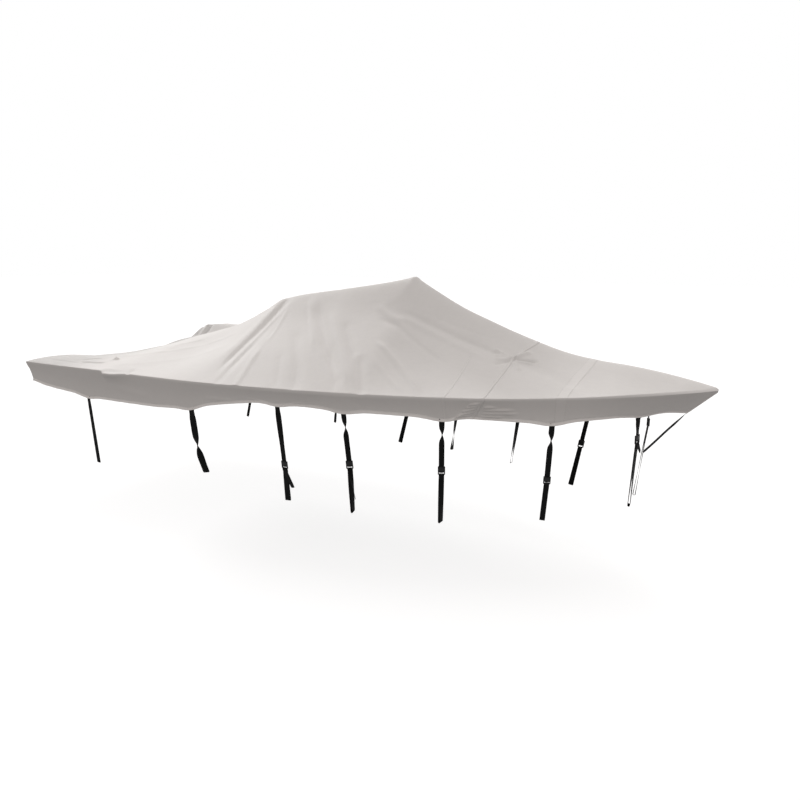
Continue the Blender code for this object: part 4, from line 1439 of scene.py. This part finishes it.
def buckle_mesh(name):
    """A ladder-lock buckle: two rails, three bars and a curved thumb tab with grips, its Z along the strap."""
    bm = bmesh.new()
    half, depth, length = BUCKLE_WIDTH / 2, BUCKLE_DEPTH, BUCKLE_LENGTH
    rail = (RAIL_WIDTH, depth * 0.86, length - 0.002)
    for s in (-1, 1):
        rounded_bar(bm, (s * (half - RAIL_WIDTH / 2), 0, 0), rail, RAIL_BEVEL)
    for z, size in ((length / 2 - 0.004, 0.007), (0.004, 0.006), (-length / 2 + 0.004, 0.007)):
        rounded_bar(bm, (0, 0, z), (BUCKLE_WIDTH - 0.008, size, size), BAR_BEVEL)
    count, rows = THUMB_COLUMNS, THUMB_ROWS
    grid = []
    for inner in (0, 1):
        for i in range(rows):
            z = length * (0.40 - 0.62 * i / (rows - 1))
            bow = math.sin(math.pi * (0.15 + 0.80 * i / (rows - 1)))
            for k in range(count + 1):
                x = (half - 0.0062) * (2 * k / count - 1)
                crown = 1 - (x / half) ** 2
                y = depth / 2 - THUMB_SETBACK + THUMB_BOW * bow + THUMB_CROWN * crown - inner * THUMB_THICK
                grid.append(bm.verts.new((x, y, z)))
    width = count + 1
    layer = rows * width
    for i in range(rows - 1):
        for k in range(count):
            a = i * width + k
            bm.faces.new((grid[a], grid[a + 1], grid[a + width + 1], grid[a + width]))
            b = a + layer
            bm.faces.new((grid[b], grid[b + width], grid[b + width + 1], grid[b + 1]))
    for i in range(rows - 1):
        for k in (0, count):
            a = i * width + k
            bm.faces.new((grid[a], grid[a + width], grid[a + width + layer], grid[a + layer]))
    for i in (0, rows - 1):
        for k in range(count):
            a = i * width + k
            bm.faces.new((grid[a], grid[a + 1], grid[a + 1 + layer], grid[a + layer]))
    for k in range(GRIPS):
        z = -length * 0.04 - GRIP_STEP * k
        rounded_bar(bm, (0, depth / 2 - 0.0012, z), (BUCKLE_WIDTH * 0.56, 0.0022, 0.0018), GRIP_BEVEL)
    put_in_order(bm)
    bmesh.ops.recalc_face_normals(bm, faces=bm.faces)
    mesh = bpy.data.meshes.new(name)
    bm.to_mesh(mesh)
    bm.free()
    return mesh


# ---- operators ----


class COVER_OT_cloth(bpy.types.Operator):
    """Build the cover's three cloth panels"""

    bl_idname = "cover.cloth"
    bl_label = "Cloth panels"

    def execute(self, context):
        settings = context.scene.cover_cloth
        look = woven_cloth(settings)
        sheets = (("aft", settings.fold_radius, SEAM_1), ("middle", SEAM_1, SEAM_2), ("bow", SEAM_2, BOW_END))
        for word, start, end in sheets:
            xs = stations(start, end, settings.step)
            grid = cover_rows(xs, settings)
            grids = [grid]
            if word == "aft":
                fold = settings.fold_radius
                grids.append(end_rows(grid, 0, transom_point, -1.0, transom_depth, fold, settings))
            if word == "bow":
                grids.append(end_rows(grid, -1, stem_point, 1.0, stem_depth, EDGE, settings))
            mesh = cloth_mesh(f"{word}_cloth", grids, settings.hem_turn, xs)
            made = place(f"{word}_cloth", mesh, look, "cover_cloth", f"{word}_panel")
            area = sum(face.area for face in mesh.polygons)
            length = float(run_lengths(grid, 1)[len(grid) // 2].max())
            length += END_SKIRT if word != "middle" else 0.0
            width = float(run_lengths(grid, 0).max(axis=0).max())
        return {"FINISHED"}


class COVER_OT_stitching(bpy.types.Operator):
    """Sew the cross seams and the hem"""

    bl_idname = "cover.stitching"
    bl_label = "Stitching"

    def execute(self, context):
        settings = context.scene.cover_cloth
        look = thread_look(settings)
        for seam, word in zip(SEAMS, ("first", "second", "aft")):
            rows = []
            for inset in (STITCH_INSET, seam.width - STITCH_INSET):
                line, out = across_line(seam.x + seam.ahead - inset, settings)
                parts = [np.abs(line[:, 1]) > seam.starts]
                if seam.starts > 0:
                    parts = [parts[0] & (line[:, 1] < 0), parts[0] & (line[:, 1] > 0)]
                rows += [(line[part], out[part]) for part in parts]
            place(f"stitches_{word}_seam", stitch_mesh(f"stitches_{word}_seam", rows), look, "cover_cloth")
        rows = [hem_line(side, settings) for side in (-1, 1)]
        reach = float(half_beam(0.0)) * (1 - SKIRT_LEAN) - 0.03
        rows.append(end_line(transom_point, -1.0, transom_depth, reach, settings))
        place("stitches_hem", stitch_mesh("stitches_hem", rows), look, "cover_cloth")
        return {"FINISHED"}


class COVER_OT_straps(bpy.types.Operator):
    """Build the webbing straps, their loops and tails, and the bow strap"""

    bl_idname = "cover.straps"
    bl_label = "Webbing"

    def execute(self, context):
        settings = context.scene.cover_straps
        look = webbing_look(settings)
        thick = settings.thickness

        def add(name, node, path, sides, width, **more):
            mesh = webbing_mesh(name, path, sides, width, thick, **more)
            place(name, mesh, look, "strap_webbing", node)

        for side in (-1, 1):
            word = side_word(side)
            for strap in STRAPS:
                tab = strap_tab(strap, side)
                node = f"strap_{strap.name}_{word}"
                if strap.buckle is None:
                    path, sides = strap_path(strap, side, tab, placed(strap.end, side), strap.turn_end)
                    add(f"webbing_{strap.name}_{word}", node, path, sides, strap.width, round_end=0.012)
                    continue
                middle, down, across, front = buckle_place(strap, side)
                top = middle - down * (BUCKLE_LENGTH / 2 - STRAP_IN_BUCKLE)
                path, sides = strap_path(strap, side, tab, top, strap.turn_buckle)
                add(f"webbing_{strap.name}_{word}", node, path, sides, strap.width)
                foot = middle + down * (BUCKLE_LENGTH / 2 - LOOP_IN_BUCKLE)
                path, sides = loop_path(strap, side, foot - front * LOOP_AT_BUCKLE / 2, across, front, down,
                                        placed(strap.end, side))
                add(f"webbing_loop_{strap.name}_{word}", f"loop_{strap.name}_{word}", path, sides, strap.width)
                for tail in TAILS:
                    if tail.strap == strap.name and side < 0:
                        first = foot + front * TAIL_CLEAR
                        last = placed(tail.end, side)
                        path = [first, first + down * STRAIGHT + front * 0.003]
                        path += [path[1].lerp(last, 0.35), path[1].lerp(last, 0.7), last]
                        low_across = facing(tail.turn, side)
                        if low_across.dot(across) < 0:
                            low_across.negate()
                        sides = [across, across, across.lerp(low_across, 0.4), across.lerp(low_across, 0.8),
                                 low_across]
                        add(f"webbing_tail_{strap.name}_{word}", f"tail_{strap.name}_{word}", path, sides,
                            strap.width * 0.96, round_end=0.015)
        low, high = point_of(stem_point(0.0, 1.0)), point_of(stem_point(0.0, 0.7))
        outward = Vector((0, 1, 0)).cross(high - low).normalized()
        if outward.x < 0:
            outward.negate()
        below = (low - high).normalized() * TAB_BELOW
        inside = -outward * (TAB_INSIDE - BOW_TAB_OUT)
        low, high = low + inside + below, high + inside
        run = [Vector(spot) for spot in BOW_STRAP]
        across = (run[-1] - run[0]).cross(Vector(BOW_STRAP_FACE)).normalized()
        if across.y < 0:
            across.negate()
        flat = Vector((0, 1, 0))
        path = [high, low, low.lerp(run[0], 0.2), low.lerp(run[0], 0.6), *run]
        sides = [flat, flat, flat.lerp(across, 0.5), across, across, across, across]
        add("webbing_bow", "bow_strap", path, sides, BOW_STRAP_WIDTH, round_end=0.010)
        return {"FINISHED"}


class COVER_OT_buckles(bpy.types.Operator):
    """Build the ladder-lock buckles"""

    bl_idname = "cover.buckles"
    bl_label = "Buckles"

    def execute(self, context):
        look = plastic_look(context.scene.cover_straps)
        for side in (-1, 1):
            for strap in STRAPS:
                if strap.buckle is None:
                    continue
                name = f"ladder_lock_{strap.name}_{side_word(side)}"
                mesh = buckle_mesh(name)
                middle, down, _, front = buckle_place(strap, side)
                frame_of = Matrix((front.cross(-down), front, -down)).transposed().to_4x4()
                mesh.transform(Matrix.Translation(middle + Vector(MOVE)) @ frame_of)
                made = place(name, mesh, look, "buckle_plastic", f"buckle_{strap.name}_{side_word(side)}")
                made.data.set_sharp_from_angle(angle=math.radians(40))
        return {"FINISHED"}


class COVER_OT_stage(bpy.types.Operator):
    """Set the floor, the lights and the camera"""

    bl_idname = "cover.stage"
    bl_label = "Stage"

    def execute(self, context):
        settings = context.scene.cover_stage
        scene = context.scene
        floor_mesh = bpy.data.meshes.new("floor")
        r, z = FLOOR_HALF, GROUND + float(MOVE[2])
        floor_mesh.from_pydata([(-r, -r, z), (r, -r, z), (r, r, z), (-r, r, z)], [], [(0, 1, 2, 3)])
        floor = bpy.data.objects.new("floor", floor_mesh)
        scene.collection.objects.link(floor)
        pale = bpy.data.materials.new("Pale floor")
        pale.use_nodes = True
        shader = pale.node_tree.nodes["Principled BSDF"]
        shader.inputs["Base Color"].default_value = (0.32, 0.32, 0.32, 1)
        shader.inputs["Emission Color"].default_value = (1, 1, 1, 1)
        shader.inputs["Emission Strength"].default_value = 0.80
        shader.inputs["Roughness"].default_value = 0.9
        shader.inputs["Specular IOR Level"].default_value = 0.0
        floor_mesh.materials.append(pale)
        floor.visible_diffuse = False
        floor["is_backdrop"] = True

        world = bpy.data.worlds.new("Even light")
        scene.world = world
        world.use_nodes = True
        tree = world.node_tree
        tree.nodes.clear()
        out = tree.nodes.new("ShaderNodeOutputWorld")
        seen = tree.nodes.new("ShaderNodeBackground")
        seen.inputs["Color"].default_value = (1, 1, 1, 1)
        fill = tree.nodes.new("ShaderNodeBackground")
        fill.inputs["Color"].default_value = (1.0, 0.945, 0.926, 1)
        upward = parts_of(tree, tree.nodes.new("ShaderNodeTexCoord").outputs["Generated"])["Z"]
        brightness = maths(tree, "ADD", maths(tree, "MULTIPLY", upward, settings.sky), settings.fill)
        tree.links.new(brightness, fill.inputs["Strength"])
        rays = tree.nodes.new("ShaderNodeLightPath")
        mix = tree.nodes.new("ShaderNodeMixShader")
        tree.links.new(rays.outputs["Is Camera Ray"], mix.inputs[0])
        tree.links.new(fill.outputs[0], mix.inputs[1])
        tree.links.new(seen.outputs[0], mix.inputs[2])
        tree.links.new(mix.outputs[0], out.inputs[0])

        for name, energy, spread, way in (
            ("overhead light", settings.overhead, 35, (0.01, 0.15, 0.98)),
            ("low light", settings.low, 12, (-0.74, 0.51, 0.44)),
        ):
            lamp = bpy.data.lights.new(name, "SUN")
            lamp.energy = energy
            lamp.angle = math.radians(spread)
            holder = bpy.data.objects.new(name, lamp)
            holder.rotation_euler = Vector(way).to_track_quat("Z", "Y").to_euler()
            scene.collection.objects.link(holder)

        camera = bpy.data.cameras.new("camera")
        camera.lens = settings.lens
        camera.sensor_width = 36.0
        camera.clip_end = 200.0
        camera_object = bpy.data.objects.new("camera", camera)
        yaw, pitch, roll = (math.radians(a) for a in (EYE_YAW, EYE_PITCH, EYE_ROLL))
        right = Vector((math.cos(yaw), math.sin(yaw), 0))
        ahead = Vector((-math.sin(yaw) * math.cos(pitch), math.cos(yaw) * math.cos(pitch), -math.sin(pitch)))
        up = right.cross(ahead)
        across = right * math.cos(roll) + up * math.sin(roll)
        rise = up * math.cos(roll) - right * math.sin(roll)
        turn = Matrix((across, rise, -ahead)).transposed().to_4x4()
        camera_object.matrix_world = Matrix.Translation(Vector(EYE) + Vector(MOVE)) @ turn
        scene.collection.objects.link(camera_object)
        scene.camera = camera_object
        scene.view_settings.view_transform = "Standard"
        return {"FINISHED"}


class COVER_PT_panel(bpy.types.Panel):
    """The cover's builders in the sidebar"""

    bl_idname = "COVER_PT_panel"
    bl_label = "Boat cover"
    bl_space_type = "VIEW_3D"
    bl_region_type = "UI"
    bl_category = "Boat cover"

    def draw(self, context):
        layout = self.layout
        for group, operators in GROUPS:
            settings = getattr(context.scene, group)
            box = layout.box()
            for name in settings.__annotations__:
                box.prop(settings, name)
            for operator in operators:
                box.operator(operator)


GROUPS = (
    ("cover_stage", ("cover.stage",)),
    ("cover_cloth", ("cover.cloth", "cover.stitching")),
    ("cover_straps", ("cover.straps", "cover.buckles")),
)
CLASSES = (
    CoverClothSettings,
    StrapSettings,
    StageSettings,
    COVER_OT_cloth,
    COVER_OT_stitching,
    COVER_OT_straps,
    COVER_OT_buckles,
    COVER_OT_stage,
    COVER_PT_panel,
)


def register():
    for item in CLASSES:
        bpy.utils.register_class(item)
    bpy.types.Scene.cover_cloth = PointerProperty(type=CoverClothSettings)
    bpy.types.Scene.cover_straps = PointerProperty(type=StrapSettings)
    bpy.types.Scene.cover_stage = PointerProperty(type=StageSettings)


def unregister():
    for name, _ in GROUPS:
        delattr(bpy.types.Scene, name)
    for item in reversed(CLASSES):
        bpy.utils.unregister_class(item)


def main():
    register()
    bpy.ops.cover.stage()
    bpy.ops.cover.cloth()
    bpy.ops.cover.stitching()
    bpy.ops.cover.straps()
    bpy.ops.cover.buckles()
    boxes = {"cad": CAD_BOX, "visual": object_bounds()}
    {name: [[float(v) for v in corner] for corner in box] for name, box in boxes.items()}


if __name__ == "__main__":
    main()
